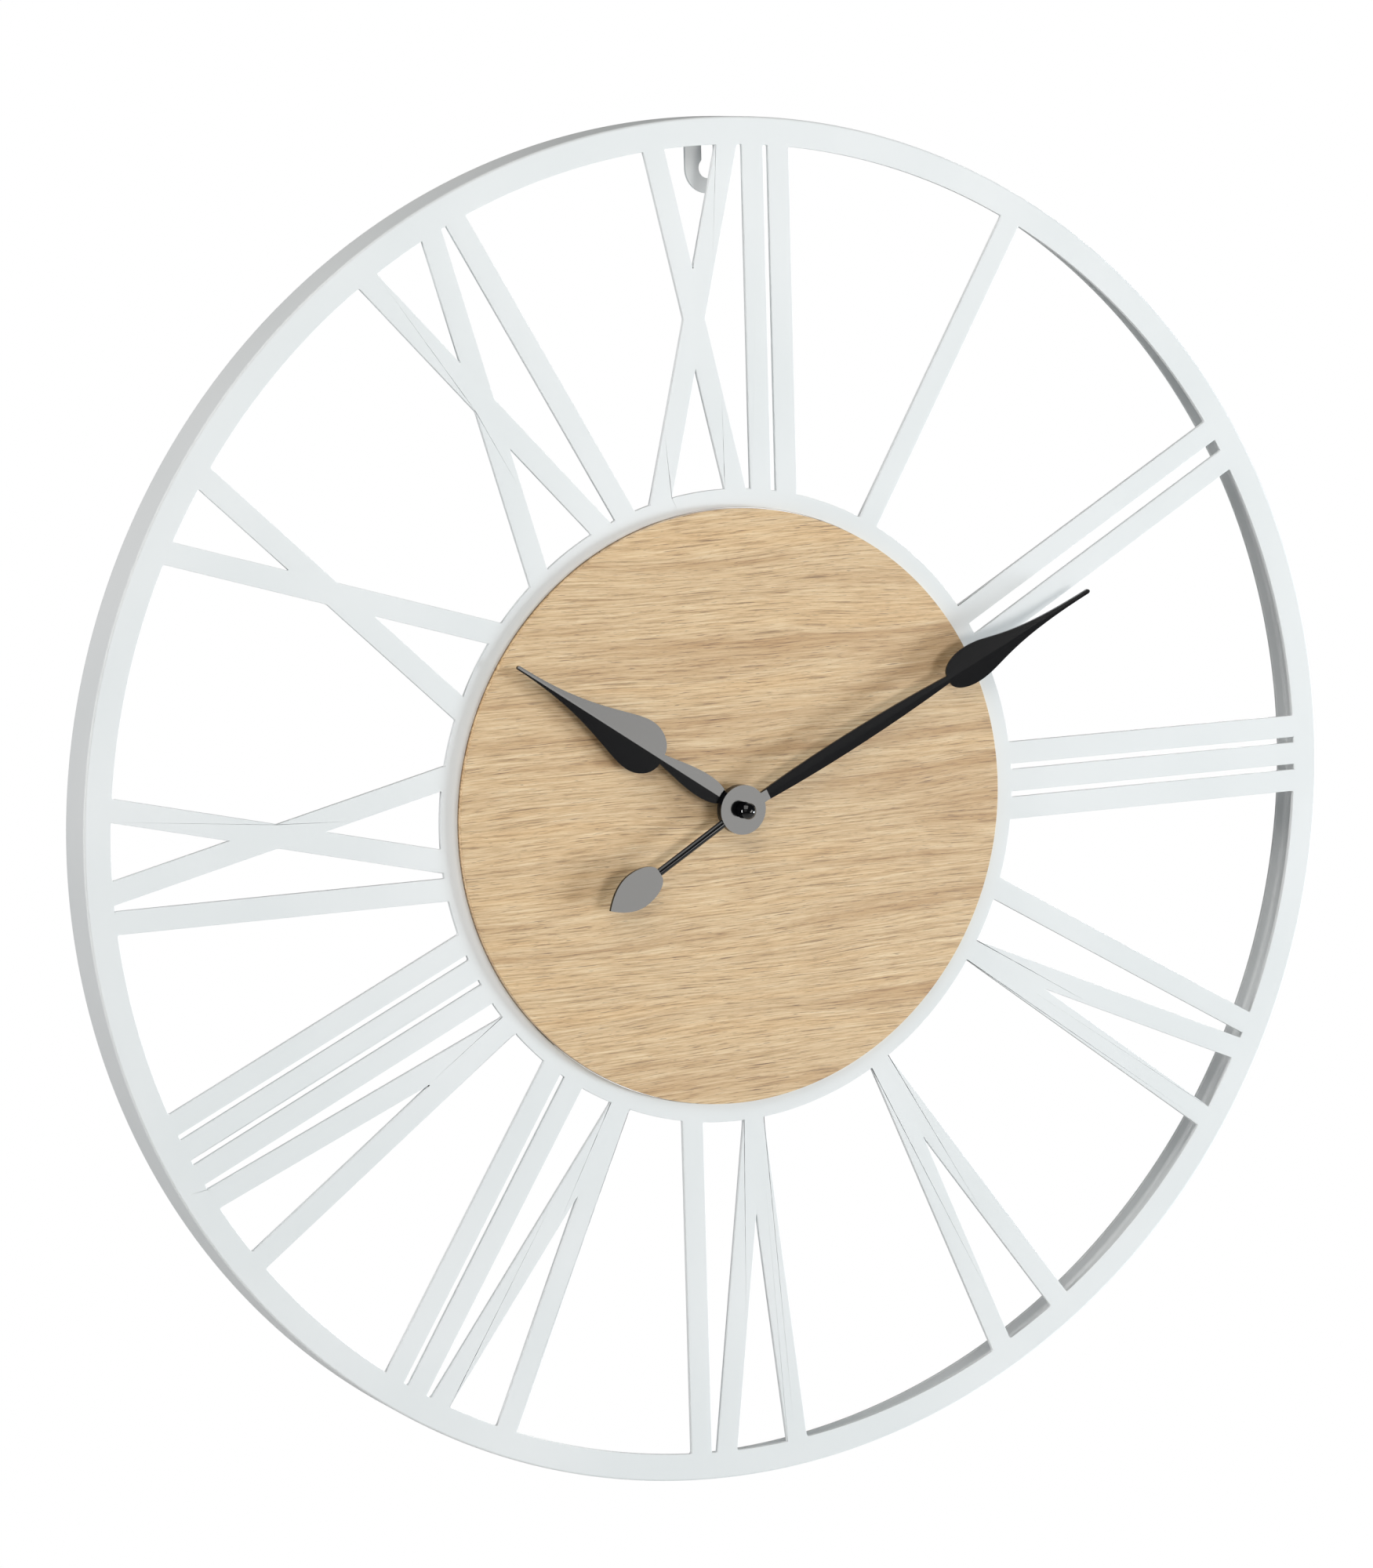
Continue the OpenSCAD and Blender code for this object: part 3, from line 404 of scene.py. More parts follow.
RIDGE_R = 0.45 * MM
RIDGE_TURN = (math.radians(9), math.radians(20))
RIDGE_LEAST = 5 * MM
RIDGE_SLOPE = 0.2
HAND_EASE = 0.12 * MM


def black_lacquer():
    """Stoved black lacquer: smooth and glossy, with a trace of fine grain in the film."""
    material, tree, shader, place = new_material("black_lacquer")
    shader.inputs["Base Color"].default_value = linear("#0e0e10")
    shader.inputs["IOR"].default_value = 1.5
    grain = add(tree, "ShaderNodeTexNoise", Vector=place, Scale=1 / (0.5 * MM), Detail=2.0)
    rough = add(tree, "ShaderNodeMapRange", Value=grain.outputs["Fac"], To_Min=0.10, To_Max=0.15)
    bump = add(tree, "ShaderNodeBump", Height=grain.outputs["Fac"], Strength=0.03, Distance=0.05 * MM)
    tree.links.new(rough.outputs["Result"], shader.inputs["Roughness"])
    tree.links.new(bump.outputs["Normal"], shader.inputs["Normal"])
    return material


def pressed_hand(node, name, body):
    """A hand with its ridge rolled over softly and its cut edges barely broken."""
    bm = joined_copy(node)
    ridge = [e for e in bm.edges if RIDGE_TURN[0] < e.calc_face_angle(0) < RIDGE_TURN[1]
             and abs((e.verts[0].co - e.verts[1].co).normalized().y) < RIDGE_SLOPE
             and e.calc_length() > RIDGE_LEAST]
    bmesh.ops.bevel(bm, geom=ridge, offset=RIDGE_R, offset_type="OFFSET", segments=4, profile=0.5,
                    affect="EDGES", material=-1, clamp_overlap=True)
    ease_edges(bm, HAND_EASE)
    finish_piece(name, bm, Matrix(), BLACK_LACQUER, body, [node], smooth=9)


BLACK_LACQUER = black_lacquer()
pressed_hand("hour_hand", "hour_blade", "hour")
pressed_hand("minute_hand", "minute_blade", "minute")

# ---- Cap nut ------------------------------------------------------------------------
# A small turned nut with a domed end, which holds the minute hand on its arbor. It is
# plated, then lacquered gloss black.

cap_low, cap_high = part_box("cap_nut")


def gloss_black():
    """Gloss black over plating: a mirror-like film."""
    material, tree, shader, place = new_material("gloss_black")
    shader.inputs["Base Color"].default_value = linear("#08080a")
    shader.inputs["Roughness"].default_value = 0.08
    fine = add(tree, "ShaderNodeTexNoise", Vector=place, Scale=1 / (2 * MM), Detail=1.0)
    bump = add(tree, "ShaderNodeBump", Height=fine.outputs["Fac"], Strength=0.02, Distance=0.05 * MM)
    tree.links.new(bump.outputs["Normal"], shader.inputs["Normal"])
    return material


CAP_R = (cap_high.x - cap_low.x) / 2
cap_front = ring_low.y - cap_low.y
cap_back = ring_low.y - cap_high.y
DOME = 2 * MM
DOME_END = 89.5
dome_r = (CAP_R ** 2 + DOME ** 2) / (2 * DOME)
lean = math.degrees(math.asin(CAP_R / dome_r))
AXIS_HOLE = 0.05 * MM
section = [(AXIS_HOLE, cap_back), (CAP_R, cap_back)]
section += arc((0, cap_front - dome_r), dome_r, 90 - lean, DOME_END, 16)
finish_piece("domed_cap", turned(section, 96), STAND_UP, gloss_black(), body="minute",
             nodes=["cap_nut"])

# ---- Lug screws ---------------------------------------------------------------------
# Four small pan-head screws in bright zinc, driven from behind through the lugs into the
# disc. Cold-headed, with a rounded rim and a cross recess.

screws_low, screws_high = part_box("lug_screws")
SCREW_INSET = 8 * MM
SCREW_RADIUS = DISC_R - SCREW_INSET
CROSS_TURN = 0.7
SCREW_TIP = ring_low.y - screws_low.y
SCREW_BACK = ring_low.y - screws_high.y
HEAD_R = 2.8 * MM
HEAD_H = 1.8 * MM
HEAD_ROUND = 0.9 * MM
SHANK_R = 1.45 * MM
TIP_R = 0.5 * MM
TIP_H = 0.9 * MM
RECESS_R = 1.7 * MM
RECESS_HALF = 0.36 * MM
RECESS_DEPTH = 1.1 * MM
POLE_R = 0.02 * MM


def bright_zinc():
    """Zinc plate: bright, slightly cloudy from the bath, with fine scratches from tumbling."""
    material, tree, shader, place = new_material("bright_zinc")
    cloud = add(tree, "ShaderNodeTexNoise", Vector=place, Scale=1 / (2.5 * MM), Detail=3.0)
    scratch = add(tree, "ShaderNodeTexNoise", Vector=place, Scale=1 / (0.3 * MM), Detail=2.0,
                  Distortion=1.5)
    tint = add(tree, "ShaderNodeValToRGB", {"stops": [(0.35, "#aeb2b8"), (0.65, "#cfd2d6")]},
               Fac=cloud.outputs["Fac"]).outputs["Color"]
    rough = add(tree, "ShaderNodeMapRange", Value=scratch.outputs["Fac"], To_Min=0.2, To_Max=0.42)
    bump = add(tree, "ShaderNodeBump", Height=scratch.outputs["Fac"], Strength=0.1, Distance=0.05 * MM)
    shader.inputs["Metallic"].default_value = 1.0
    tree.links.new(tint, shader.inputs["Base Color"])
    tree.links.new(rough.outputs["Result"], shader.inputs["Roughness"])
    tree.links.new(bump.outputs["Normal"], shader.inputs["Normal"])
    return material


def pan_screw():
    """One screw on the z axis, its head towards the wall with the cross sunk into it."""
    head_low = SCREW_BACK + HEAD_H
    profile = [(POLE_R, SCREW_TIP), (TIP_R, SCREW_TIP), (SHANK_R, SCREW_TIP - TIP_H), (SHANK_R, head_low),
               (HEAD_R, head_low)]
    profile += arc((HEAD_R - HEAD_ROUND, SCREW_BACK + HEAD_ROUND), HEAD_ROUND, 0, -90, 6)
    profile += [(RECESS_R, SCREW_BACK), (POLE_R, SCREW_BACK)]
    bm = turned(profile, 48)
    for side in (-1, 1):
        for axis in (Vector((1, 0, 0)), Vector((0, 1, 0))):
            bmesh.ops.bisect_plane(bm, geom=bm.faces[:] + bm.edges[:] + bm.verts[:], dist=1e-8,
                                   plane_co=axis * (side * RECESS_HALF), plane_no=axis)
    sunk = [f for f in bm.faces if abs(f.calc_center_median().z - SCREW_BACK) < 1e-7
            and f.calc_center_median().xy.length < RECESS_R
            and min(abs(f.calc_center_median().x), abs(f.calc_center_median().y)) < RECESS_HALF]
    made = bmesh.ops.extrude_face_region(bm, geom=sunk)
    bmesh.ops.translate(bm, vec=(0, 0, RECESS_DEPTH),
                        verts=[v for v in made["geom"] if isinstance(v, bmesh.types.BMVert)])
    bmesh.ops.delete(bm, geom=[f for f in sunk if f.is_valid], context="FACES")
    return bm


screws = bmesh.new()
for number in range(4):
    one = pan_screw()
    spot = Matrix.Rotation(math.radians(45 + 90 * number), 4, "Z")
    spot = spot @ Matrix.Translation((SCREW_RADIUS, 0, 0))
    # Each cross has stopped at its own angle
    bmesh.ops.transform(one, matrix=spot @ Matrix.Rotation(CROSS_TURN * number, 4, "Z"), verts=one.verts)
    held = bpy.data.meshes.new("held")
    one.to_mesh(held)
    one.free()
    screws.from_mesh(held)
    bpy.data.meshes.remove(held)
finish_piece("pan_screws", screws, STAND_UP, bright_zinc(), nodes=["lug_screws"])

# ---- Movement case ------------------------------------------------------------------
# The shell and rear lid of the quartz movement, injection-moulded in black ABS with a
# fine spark-eroded texture. The battery bay is left open at the back.


def moulded_abs():
    """Black ABS from a spark-eroded mould: a fine even grit, dull in the valleys."""
    material, tree, shader, place = new_material("moulded_abs")
    grit = add(tree, "ShaderNodeTexNoise", Vector=place, Scale=1 / (0.22 * MM), Detail=3.0, Roughness=0.6)
    cloud = add(tree, "ShaderNodeTexNoise", Vector=place, Scale=1 / (14 * MM), Detail=2.0)
    tint = add(tree, "ShaderNodeValToRGB", {"stops": [(0.35, "#151516"), (0.65, "#1d1d1f")]},
               Fac=cloud.outputs["Fac"]).outputs["Color"]
    rough = add(tree, "ShaderNodeMapRange", Value=grit.outputs["Fac"], To_Min=0.62, To_Max=0.4)
    bump = add(tree, "ShaderNodeBump", Height=grit.outputs["Fac"], Strength=0.3, Distance=0.06 * MM)
    tree.links.new(tint, shader.inputs["Base Color"])
    tree.links.new(rough.outputs["Result"], shader.inputs["Roughness"])
    tree.links.new(bump.outputs["Normal"], shader.inputs["Normal"])
    return material


def on_ends(node):
    """Picks the edges that lie on a node's front or rear face."""
    low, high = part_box(node)
    return lambda edge: any(all(abs(v.co.y - end) < 2e-6 for v in edge.verts) for end in (low.y, high.y))


MOULDED_ABS = moulded_abs()
eased_copy("movement_case", "case_shell", 0.4 * MM, MOULDED_ABS, segments=3,
           choose=on_ends("movement_case"))
eased_copy("movement_cover", "case_lid", 0.35 * MM, MOULDED_ABS, segments=3,
           choose=on_ends("movement_cover"))

# ---- Fixing at the hand axis --------------------------------------------------------
# A turned brass bush from the movement passes through the disc. A rubber washer behind
# the disc and a brass washer and nut in front of it clamp the movement in place.

# A wave pattern of scale 1 repeats every tau / 20 of a metre
WAVE_AT_1 = math.tau / 20


def turned_brass():
    """Brass off the lathe: fine rings round the hand axis and a faint brown tarnish."""
    material, tree, shader, place = new_material("turned_brass")
    about = add(tree, "ShaderNodeVectorMath", {"operation": "SUBTRACT"}, i0=place, i1=tuple(DIAL))
    rings = add(tree, "ShaderNodeTexWave", {"wave_type": "RINGS", "rings_direction": "Y"},
                Vector=about.outputs["Vector"], Scale=WAVE_AT_1 / (0.22 * MM), Distortion=0.4, Detail=1.0)
    cloud = add(tree, "ShaderNodeTexNoise", Vector=place, Scale=1 / (3 * MM), Detail=3.0)
    tint = add(tree, "ShaderNodeValToRGB", {"stops": [(0.3, "#b48f48"), (0.62, "#d8b468")]},
               Fac=cloud.outputs["Fac"]).outputs["Color"]
    rough = add(tree, "ShaderNodeMapRange", Value=cloud.outputs["Fac"], To_Min=0.36, To_Max=0.2)
    bump = add(tree, "ShaderNodeBump", Height=rings.outputs["Fac"], Strength=0.2, Distance=0.01 * MM)
    shader.inputs["Metallic"].default_value = 1.0
    tree.links.new(tint, shader.inputs["Base Color"])
    tree.links.new(rough.outputs["Result"], shader.inputs["Roughness"])
    tree.links.new(bump.outputs["Normal"], shader.inputs["Normal"])
    return material


def nitrile_rubber():
    """Pressed black rubber: dull, with a fine dusty grain."""
    material, tree, shader, place = new_material("nitrile_rubber")
    grain = add(tree, "ShaderNodeTexNoise", Vector=place, Scale=1 / (0.35 * MM), Detail=3.0)
    tint = add(tree, "ShaderNodeValToRGB", {"stops": [(0.35, "#161616"), (0.7, "#232323")]},
               Fac=grain.outputs["Fac"]).outputs["Color"]
    bump = add(tree, "ShaderNodeBump", Height=grain.outputs["Fac"], Strength=0.25, Distance=0.05 * MM)
    shader.inputs["Roughness"].default_value = 0.75
    tree.links.new(tint, shader.inputs["Base Color"])
    tree.links.new(bump.outputs["Normal"], shader.inputs["Normal"])
    return material


def finish_node(node, material):
    """Gives a CAD piece whose shape is right its finish."""
    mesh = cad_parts[node].data
    mesh.materials.clear()
    mesh.materials.append(material)


TURNED_BRASS = turned_brass()
eased_copy("hex_nut", "chamfered_nut", 0.2 * MM, TURNED_BRASS)
eased_copy("dial_washer", "flat_washer", 0.12 * MM, TURNED_BRASS)
finish_node("threaded_bush", TURNED_BRASS)
finish_node("rubber_gasket", nitrile_rubber())

# ---- Gear train ---------------------------------------------------------------------
# Wheels with their pinions, moulded in cream acetal and running in a plate of the same
# plastic. The centre wheel and the minute arbor are brass, and stay with the minute hand.


def acetal(name, low, high):
    """Acetal or nylon: milky, half gloss, with soft flow clouds from the mould."""
    material, tree, shader, place = new_material(name)
    cloud = add(tree, "ShaderNodeTexNoise", Vector=place, Scale=1 / (4 * MM), Detail=3.0)
    fine = add(tree, "ShaderNodeTexNoise", Vector=place, Scale=1 / (0.3 * MM), Detail=2.0)
    tint = add(tree, "ShaderNodeValToRGB", {"stops": [(0.35, low), (0.65, high)]},
               Fac=cloud.outputs["Fac"]).outputs["Color"]
    rough = add(tree, "ShaderNodeMapRange", Value=fine.outputs["Fac"], To_Min=0.3, To_Max=0.45)
    bump = add(tree, "ShaderNodeBump", Height=fine.outputs["Fac"], Strength=0.08, Distance=0.04 * MM)
    shader.inputs["Subsurface Weight"].default_value = 0.15
    shader.inputs["Subsurface Scale"].default_value = 1 * MM
    tree.links.new(tint, shader.inputs["Base Color"])
    tree.links.new(rough.outputs["Result"], shader.inputs["Roughness"])
    tree.links.new(bump.outputs["Normal"], shader.inputs["Normal"])
    return material


WHEEL_ACETAL = acetal("acetal_wheels", "#d5d1c2", "#e2dfd3")
for node in ("step_wheel", "seconds_wheel", "third_wheel", "motion_wheel", "hour_wheel"):
    finish_node(node, WHEEL_ACETAL)
finish_node("train_plate", acetal("acetal_plate", "#dedbcf", "#ebe8de"))
finish_node("centre_wheel", TURNED_BRASS)
finish_node("minute_arbor", TURNED_BRASS)

# ---- Stepping motor -----------------------------------------------------------------
# A copper coil, wound on a moulded former, turns a small sintered magnet through a loop
# of soft iron stamped from sheet.


def wound_copper():
    """Enamelled wire, a tenth of a millimetre thick, wound turn by turn along the coil."""
    material, tree, shader, place = new_material("wound_copper")
    # The colour runs dark in the grooves between the turns and light on their rounded tops: painted shade and
    # painted highlight over the copper.
    turns = add(tree, "ShaderNodeTexWave", {"wave_type": "BANDS", "bands_direction": "Z"}, Vector=place,
                Scale=WAVE_AT_1 / (0.11 * MM), Distortion=0.3, Detail=1.0)
    tint = add(tree, "ShaderNodeValToRGB", {"stops": [(0.1, "#7a3413"), (0.7, "#c8713a")]},
               Fac=turns.outputs["Fac"]).outputs["Color"]
    bump = add(tree, "ShaderNodeBump", Height=turns.outputs["Fac"], Strength=0.6, Distance=0.04 * MM)
    shader.inputs["Metallic"].default_value = 0.85
    shader.inputs["Roughness"].default_value = 0.32
    shader.inputs["Coat Weight"].default_value = 0.6
    tree.links.new(tint, shader.inputs["Base Color"])
    tree.links.new(bump.outputs["Normal"], shader.inputs["Normal"])
    return material


def rolled_metal(name, low, high, along, smooth, dull):
    """Rolled and plated strip: fine drawn lines along one axis of the clock."""
    material, tree, shader, place = new_material(name)
    scale = [1 / (0.25 * MM)] * 3
    scale[along] = 1 / (9 * MM)
    drawn = add(tree, "ShaderNodeMapping", Vector=place, Scale=scale)
    lines = add(tree, "ShaderNodeTexNoise", Vector=drawn.outputs["Vector"], Scale=1.0, Detail=3.0)
    tint = add(tree, "ShaderNodeValToRGB", {"stops": [(0.3, low), (0.7, high)]},
               Fac=lines.outputs["Fac"]).outputs["Color"]
    rough = add(tree, "ShaderNodeMapRange", Value=lines.outputs["Fac"], To_Min=dull, To_Max=smooth)
    bump = add(tree, "ShaderNodeBump", Height=lines.outputs["Fac"], Strength=0.12, Distance=0.02 * MM)
    shader.inputs["Metallic"].default_value = 1.0
    tree.links.new(tint, shader.inputs["Base Color"])
    tree.links.new(rough.outputs["Result"], shader.inputs["Roughness"])
    tree.links.new(bump.outputs["Normal"], shader.inputs["Normal"])
    return material


def sintered_magnet():
    """Ground magnet: dark grey with a sparkle of fine grains."""
    material, tree, shader, place = new_material("sintered_magnet")
    grains = add(tree, "ShaderNodeTexVoronoi", Vector=place, Scale=1 / (0.12 * MM))
    tint = add(tree, "ShaderNodeValToRGB", {"stops": [(0.1, "#2c2c30"), (0.6, "#4a4a50")]},
               Fac=grains.outputs["Distance"]).outputs["Color"]
    bump = add(tree, "ShaderNodeBump", Height=grains.outputs["Distance"], Strength=0.15,
               Distance=0.02 * MM)
    shader.inputs["Metallic"].default_value = 0.7
    shader.inputs["Roughness"].default_value = 0.45
    tree.links.new(tint, shader.inputs["Base Color"])
    tree.links.new(bump.outputs["Normal"], shader.inputs["Normal"])
    return material


finish_node("coil_winding", wound_copper())
finish_node("coil_bobbin", acetal("moulded_nylon", "#d3ccb6", "#e0dac8"))
finish_node("stator", rolled_metal("soft_iron", "#86888d", "#a9abb0", 2, 0.28, 0.45))
finish_node("rotor", sintered_magnet())

# ---- Circuit board ------------------------------------------------------------------
# A narrow glass-fibre board with green solder mask, a blob of black resin over the bare
# chip and the quartz crystal in its drawn tin can.


def solder_mask():
    """Green lacquer over copper tracks, which show through as lighter, raised lines."""
    material, tree, shader, place = new_material("solder_mask")
    turned_place = add(tree, "ShaderNodeMapping", Vector=place, Rotation=(math.radians(90), 0, 0))
    tracks = add(tree, "ShaderNodeTexBrick", {"offset": 0.35}, Vector=turned_place.outputs["Vector"],
                 Scale=1 / (9 * MM), Mortar_Size=0.03, Mortar_Smooth=0.2, Brick_Width=0.4, Row_Height=0.14)
    tint = add(tree, "ShaderNodeValToRGB", {"stops": [(0.2, "#17492b"), (0.8, "#2d7444")]},
               Fac=tracks.outputs["Fac"]).outputs["Color"]
    bump = add(tree, "ShaderNodeBump", Height=tracks.outputs["Fac"], Strength=0.3, Distance=0.04 * MM)
    shader.inputs["Roughness"].default_value = 0.3
    tree.links.new(tint, shader.inputs["Base Color"])
    tree.links.new(bump.outputs["Normal"], shader.inputs["Normal"])
    return material


def black_resin():
    """A drop of filled epoxy: black, with a dull skin and shallow dimples."""
    material, tree, shader, place = new_material("black_resin")
    dimples = add(tree, "ShaderNodeTexNoise", Vector=place, Scale=1 / (0.8 * MM), Detail=3.0)
    tint = add(tree, "ShaderNodeValToRGB", {"stops": [(0.35, "#0d0d0d"), (0.7, "#1a1a1b")]},
               Fac=dimples.outputs["Fac"]).outputs["Color"]
    bump = add(tree, "ShaderNodeBump", Height=dimples.outputs["Fac"], Strength=0.3, Distance=0.08 * MM)
    shader.inputs["Roughness"].default_value = 0.38
    tree.links.new(tint, shader.inputs["Base Color"])
    tree.links.new(bump.outputs["Normal"], shader.inputs["Normal"])
    return material


finish_node("circuit_board", solder_mask())
finish_node("chip_cap", black_resin())
finish_node("quartz_crystal", rolled_metal("drawn_tin", "#b9bbc0", "#d3d5da", 2, 0.16, 0.3))

# ---- Battery and contacts -----------------------------------------------------------
# One AA cell lies in the open bay between a flat plate and a bowed leaf, both stamped
# from nickel-plated strip. Its steel can wears a plain printed film, turned in at the ends.

cell_low, cell_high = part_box("battery")
CELL_R = (cell_high.y - cell_low.y) / 2
CELL_AXIS = (cell_low + cell_high) / 2
STUD_H = 1.2 * MM
STUD_R = 2.75 * MM
STUD_FOOT_R = 0.4 * MM
STUD_TOP_R = 0.35 * MM
CELL_END = cell_high.x - STUD_H
CELL_LENGTH = CELL_END - cell_low.x
CELL_ROUND = 0.8 * MM
DIMPLE_R = 3.9 * MM
DIMPLE_DEPTH = 0.3 * MM
DIMPLE_SLOPE = 0.4 * MM
MINUS_RIM = 1.1 * MM
PLUS_RIM = 1.2 * MM
PLUS_SLOPE = 0.4 * MM
PLUS_SUNK = 0.3 * MM
PLUS_STEP = 0.1 * MM
FILM_LAP = 1.3 * MM


def sleeve_film():
    """Shrunk film printed dark slate, with a copper band at the plus end and bare steel on the ends."""
    material, tree, shader, place = new_material("sleeve_film")
    parts = add(tree, "ShaderNodeSeparateXYZ", Vector=place)
    along = add(tree, "ShaderNodeMapRange", Value=parts.outputs["X"], From_Min=cell_low.x,
                From_Max=CELL_END)
    about = add(tree, "ShaderNodeVectorMath", {"operation": "SUBTRACT"}, i0=place,
                i1=(0, CELL_AXIS.y, CELL_AXIS.z))
    flat = add(tree, "ShaderNodeVectorMath", {"operation": "MULTIPLY"}, i0=about.outputs["Vector"],
               i1=(0, 1, 1))
    away = add(tree, "ShaderNodeVectorMath", {"operation": "LENGTH"}, i0=flat.outputs["Vector"])
    film = add(tree, "ShaderNodeMath", {"operation": "GREATER_THAN"}, i0=away.outputs["Value"],
               i1=CELL_R - FILM_LAP)
    bands = [(0.0, "#26313b"), (0.76, "#a8693d"), (0.985, "#26313b")]
    print_colour = add(tree, "ShaderNodeValToRGB", {"stops": bands, "interpolation": "CONSTANT"},
                       Fac=along.outputs["Result"]).outputs["Color"]
    wear = add(tree, "ShaderNodeTexNoise", Vector=place, Scale=1 / (3 * MM), Detail=4.0)
    tint = add(tree, "ShaderNodeMix", {"data_type": "RGBA"}, i0=film.outputs["Value"],
               i6=linear("#b4b6ba"), i7=print_colour)
    metal = add(tree, "ShaderNodeMath", {"operation": "SUBTRACT"}, i0=1.0, i1=film.outputs["Value"])
    rough = add(tree, "ShaderNodeMapRange", Value=wear.outputs["Fac"], To_Min=0.22, To_Max=0.38)
    bump = add(tree, "ShaderNodeBump", Height=wear.outputs["Fac"], Strength=0.08, Distance=0.05 * MM)
    tree.links.new(tint.outputs[2], shader.inputs["Base Color"])
    tree.links.new(metal.outputs["Value"], shader.inputs["Metallic"])
    tree.links.new(rough.outputs["Result"], shader.inputs["Roughness"])
    tree.links.new(bump.outputs["Normal"], shader.inputs["Normal"])
    return material


profile = [(AXIS_HOLE, DIMPLE_DEPTH), (DIMPLE_R, DIMPLE_DEPTH), (DIMPLE_R + DIMPLE_SLOPE, 0),
           (CELL_R - MINUS_RIM, 0)]
profile += arc((CELL_R - CELL_ROUND, CELL_ROUND), CELL_ROUND, -90, 0, 6)
profile += arc((CELL_R - CELL_ROUND, CELL_LENGTH - CELL_ROUND), CELL_ROUND, 0, 90, 6)
sunk = CELL_LENGTH - PLUS_SUNK
profile += [(CELL_R - PLUS_RIM, CELL_LENGTH), (CELL_R - PLUS_RIM - PLUS_SLOPE, sunk - 2 * PLUS_STEP),
            (STUD_R + STUD_FOOT_R + PLUS_STEP, sunk - PLUS_STEP)]
profile += arc((STUD_R + STUD_FOOT_R, sunk + STUD_FOOT_R), STUD_FOOT_R, 270, 180, 3)
profile += arc((STUD_R - STUD_TOP_R, CELL_LENGTH + STUD_H - STUD_TOP_R), STUD_TOP_R, 0, 90, 4)
profile += [(AXIS_HOLE, CELL_LENGTH + STUD_H)]
lie_down = (Matrix.Translation((cell_low.x, CELL_AXIS.y, CELL_AXIS.z))
            @ Matrix.Rotation(math.radians(90), 4, "Y"))
finish_piece("aa_cell", turned(profile, 96), lie_down, sleeve_film(), body="battery",
             nodes=["battery"])
NICKEL_STRIP = rolled_metal("nickel_strip", "#b5b1a6", "#d6d2c8", 1, 0.18, 0.34)
eased_copy("positive_contact", "plus_plate", 0.1 * MM, NICKEL_STRIP)
eased_copy("negative_contact", "minus_leaf", 0.08 * MM, NICKEL_STRIP)

# ---- Setting knob -------------------------------------------------------------------
# A fluted knob of black ABS, pushed on the shaft of the motion wheel, for setting the
# hands from behind.

eased_copy("setting_knob", "fluted_knob", 0.15 * MM, MOULDED_ABS, "motion_work")

# ---- Studio -------------------------------------------------------------------------
# The clock hangs clear of a pale floor in a white room. The card gives the flat faces of
# the black hands their grey, the key gives the shadows, and the rest fill in.

WARM_WHITE = (1.0, 0.985, 0.955)
FLOOR_DROP = 1.6
FLOOR_HALF = 4
FADE_START = 2.2
FADE_END = 3.9


def softbox(name, towards, distance, width, height, watts, colour=(1, 1, 1), roll=0):
    """A rectangular softbox in a given direction from the middle of the dial, which it faces."""
    data = bpy.data.lights.new(name, "AREA")
    data.shape = "RECTANGLE"
    data.size, data.size_y = width, height
    data.energy = watts
    data.color = colour
    lamp = bpy.data.objects.new(name, data)
    bpy.context.scene.collection.objects.link(lamp)
    towards = Vector(towards).normalized()
    lamp.location = DIAL + towards * distance
    turn = towards.to_track_quat("Z", "Y") @ Quaternion((0, 0, 1), math.radians(roll))
    lamp.rotation_euler = turn.to_euler()
    lamp.visible_camera = False


def from_front(right, up):
    """A direction by its angles to the right of and above the dial's own axis."""
    return Matrix.Rotation(math.radians(right), 3, "Z") @ (
        Matrix.Rotation(math.radians(-up), 3, "X") @ Vector((0, -1, 0)))


softbox("key", (0.929, -0.292, -0.23), 8.0, 1.6, 1.6, 610, colour=(0.86, 0.95, 1.0))
softbox("card", from_front(32, -3.5), 4.0, 2.2, 1.12, 53, colour=WARM_WHITE, roll=37)
softbox("overhead", from_front(-38, 52), 2.2, 1.8, 1.8, 27, colour=WARM_WHITE)
softbox("front_fill", from_front(-42, 14), 3.0, 1.8, 1.8, 4)
softbox("left_card", (-1, -0.08, 0), 3.0, 0.3, 1.3, 36)
softbox("back_fill", (1, 1, 0.1), 3.2, 1.1, 1.8, 68)

world = bpy.data.worlds.new("studio")
bpy.context.scene.world = world
world.use_nodes = True
tree = world.node_tree
tree.nodes.clear()
seen = add(tree, "ShaderNodeBackground", Color=(1, 1, 1, 1), Strength=1.0)
lit = add(tree, "ShaderNodeBackground", Color=(0.9, 0.96, 1.0, 1), Strength=0.06)
path = add(tree, "ShaderNodeLightPath")
both = add(tree, "ShaderNodeMixShader", i0=path.outputs["Is Camera Ray"], i1=lit.outputs["Background"],
           i2=seen.outputs["Background"])
add(tree, "ShaderNodeOutputWorld", Surface=both.outputs["Shader"])

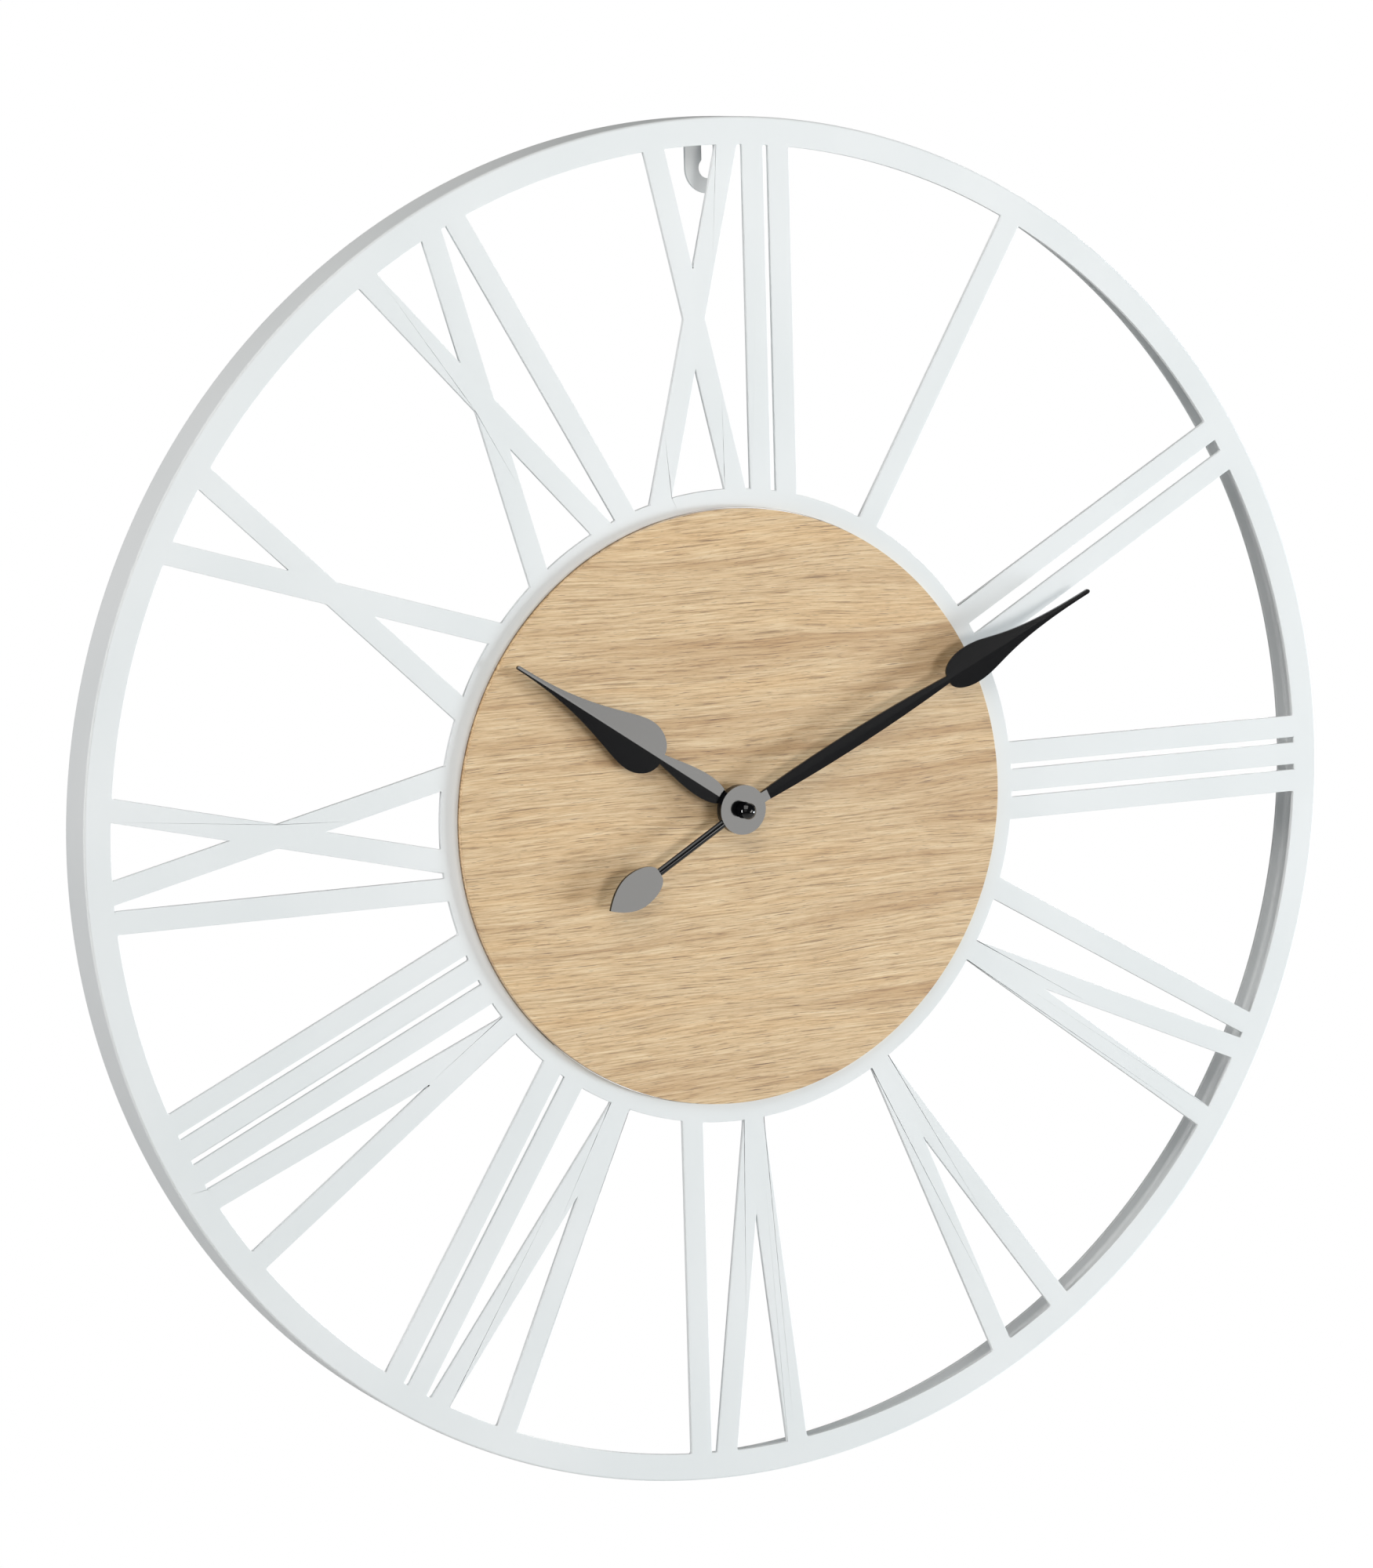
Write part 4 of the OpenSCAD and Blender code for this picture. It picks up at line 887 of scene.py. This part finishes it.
floor_mesh = bpy.data.meshes.new("floor")
bm = bmesh.new()
bmesh.ops.create_grid(bm, x_segments=1, y_segments=1, size=FLOOR_HALF,
                      matrix=Matrix.Translation((0, 0, DIAL.z - RIM_R - FLOOR_DROP)))
bm.to_mesh(floor_mesh)
bm.free()
floor = bpy.data.objects.new("floor", floor_mesh)
bpy.context.scene.collection.objects.link(floor)

# The floor fades into the white backdrop for the eye alone, so the clock gets no light from it
floor_material, floor_tree, floor_shader, floor_place = new_material("pale_floor")
floor_shader.inputs["Base Color"].default_value = linear("#f2f2f0")
floor_shader.inputs["Roughness"].default_value = 0.8
far = add(floor_tree, "ShaderNodeVectorMath", {"operation": "LENGTH"}, Vector=floor_place)
run_out = add(floor_tree, "ShaderNodeMapRange", {"interpolation_type": "SMOOTHSTEP"},
              Value=far.outputs["Value"], From_Min=FADE_START, From_Max=FADE_END, To_Min=0.4)
seen = add(floor_tree, "ShaderNodeLightPath").outputs["Is Camera Ray"]
share = add(floor_tree, "ShaderNodeMath", {"operation": "MULTIPLY"}, i0=run_out.outputs["Result"], i1=seen)
backdrop = add(floor_tree, "ShaderNodeEmission", Color=(1, 1, 1, 1))
sweep = add(floor_tree, "ShaderNodeMixShader", i0=share.outputs["Value"], i1=floor_shader.outputs["BSDF"],
            i2=backdrop.outputs["Emission"])
floor_tree.links.new(sweep.outputs["Shader"], floor_tree.nodes["Material Output"].inputs["Surface"])
floor_material.cycles.emission_sampling = "NONE"
floor_mesh.materials.append(floor_material)

# A long lens, from a little above the dial and well to its left
CAMERA_SPOT = DIAL + Vector((-1.0557, -2.1395, 0.3431))
CAMERA_TURN = [math.radians(a) for a in (82.068, 1.557, -25.997)]
LENS = 144.56

camera_data = bpy.data.cameras.new("camera")
camera_data.sensor_fit = "HORIZONTAL"
camera_data.sensor_width = 36
camera_data.lens = LENS
camera = bpy.data.objects.new("camera", camera_data)
bpy.context.scene.collection.objects.link(camera)
camera.location = CAMERA_SPOT
camera.rotation_euler = CAMERA_TURN
bpy.context.scene.camera = camera
bpy.context.scene.view_settings.view_transform = "Standard"
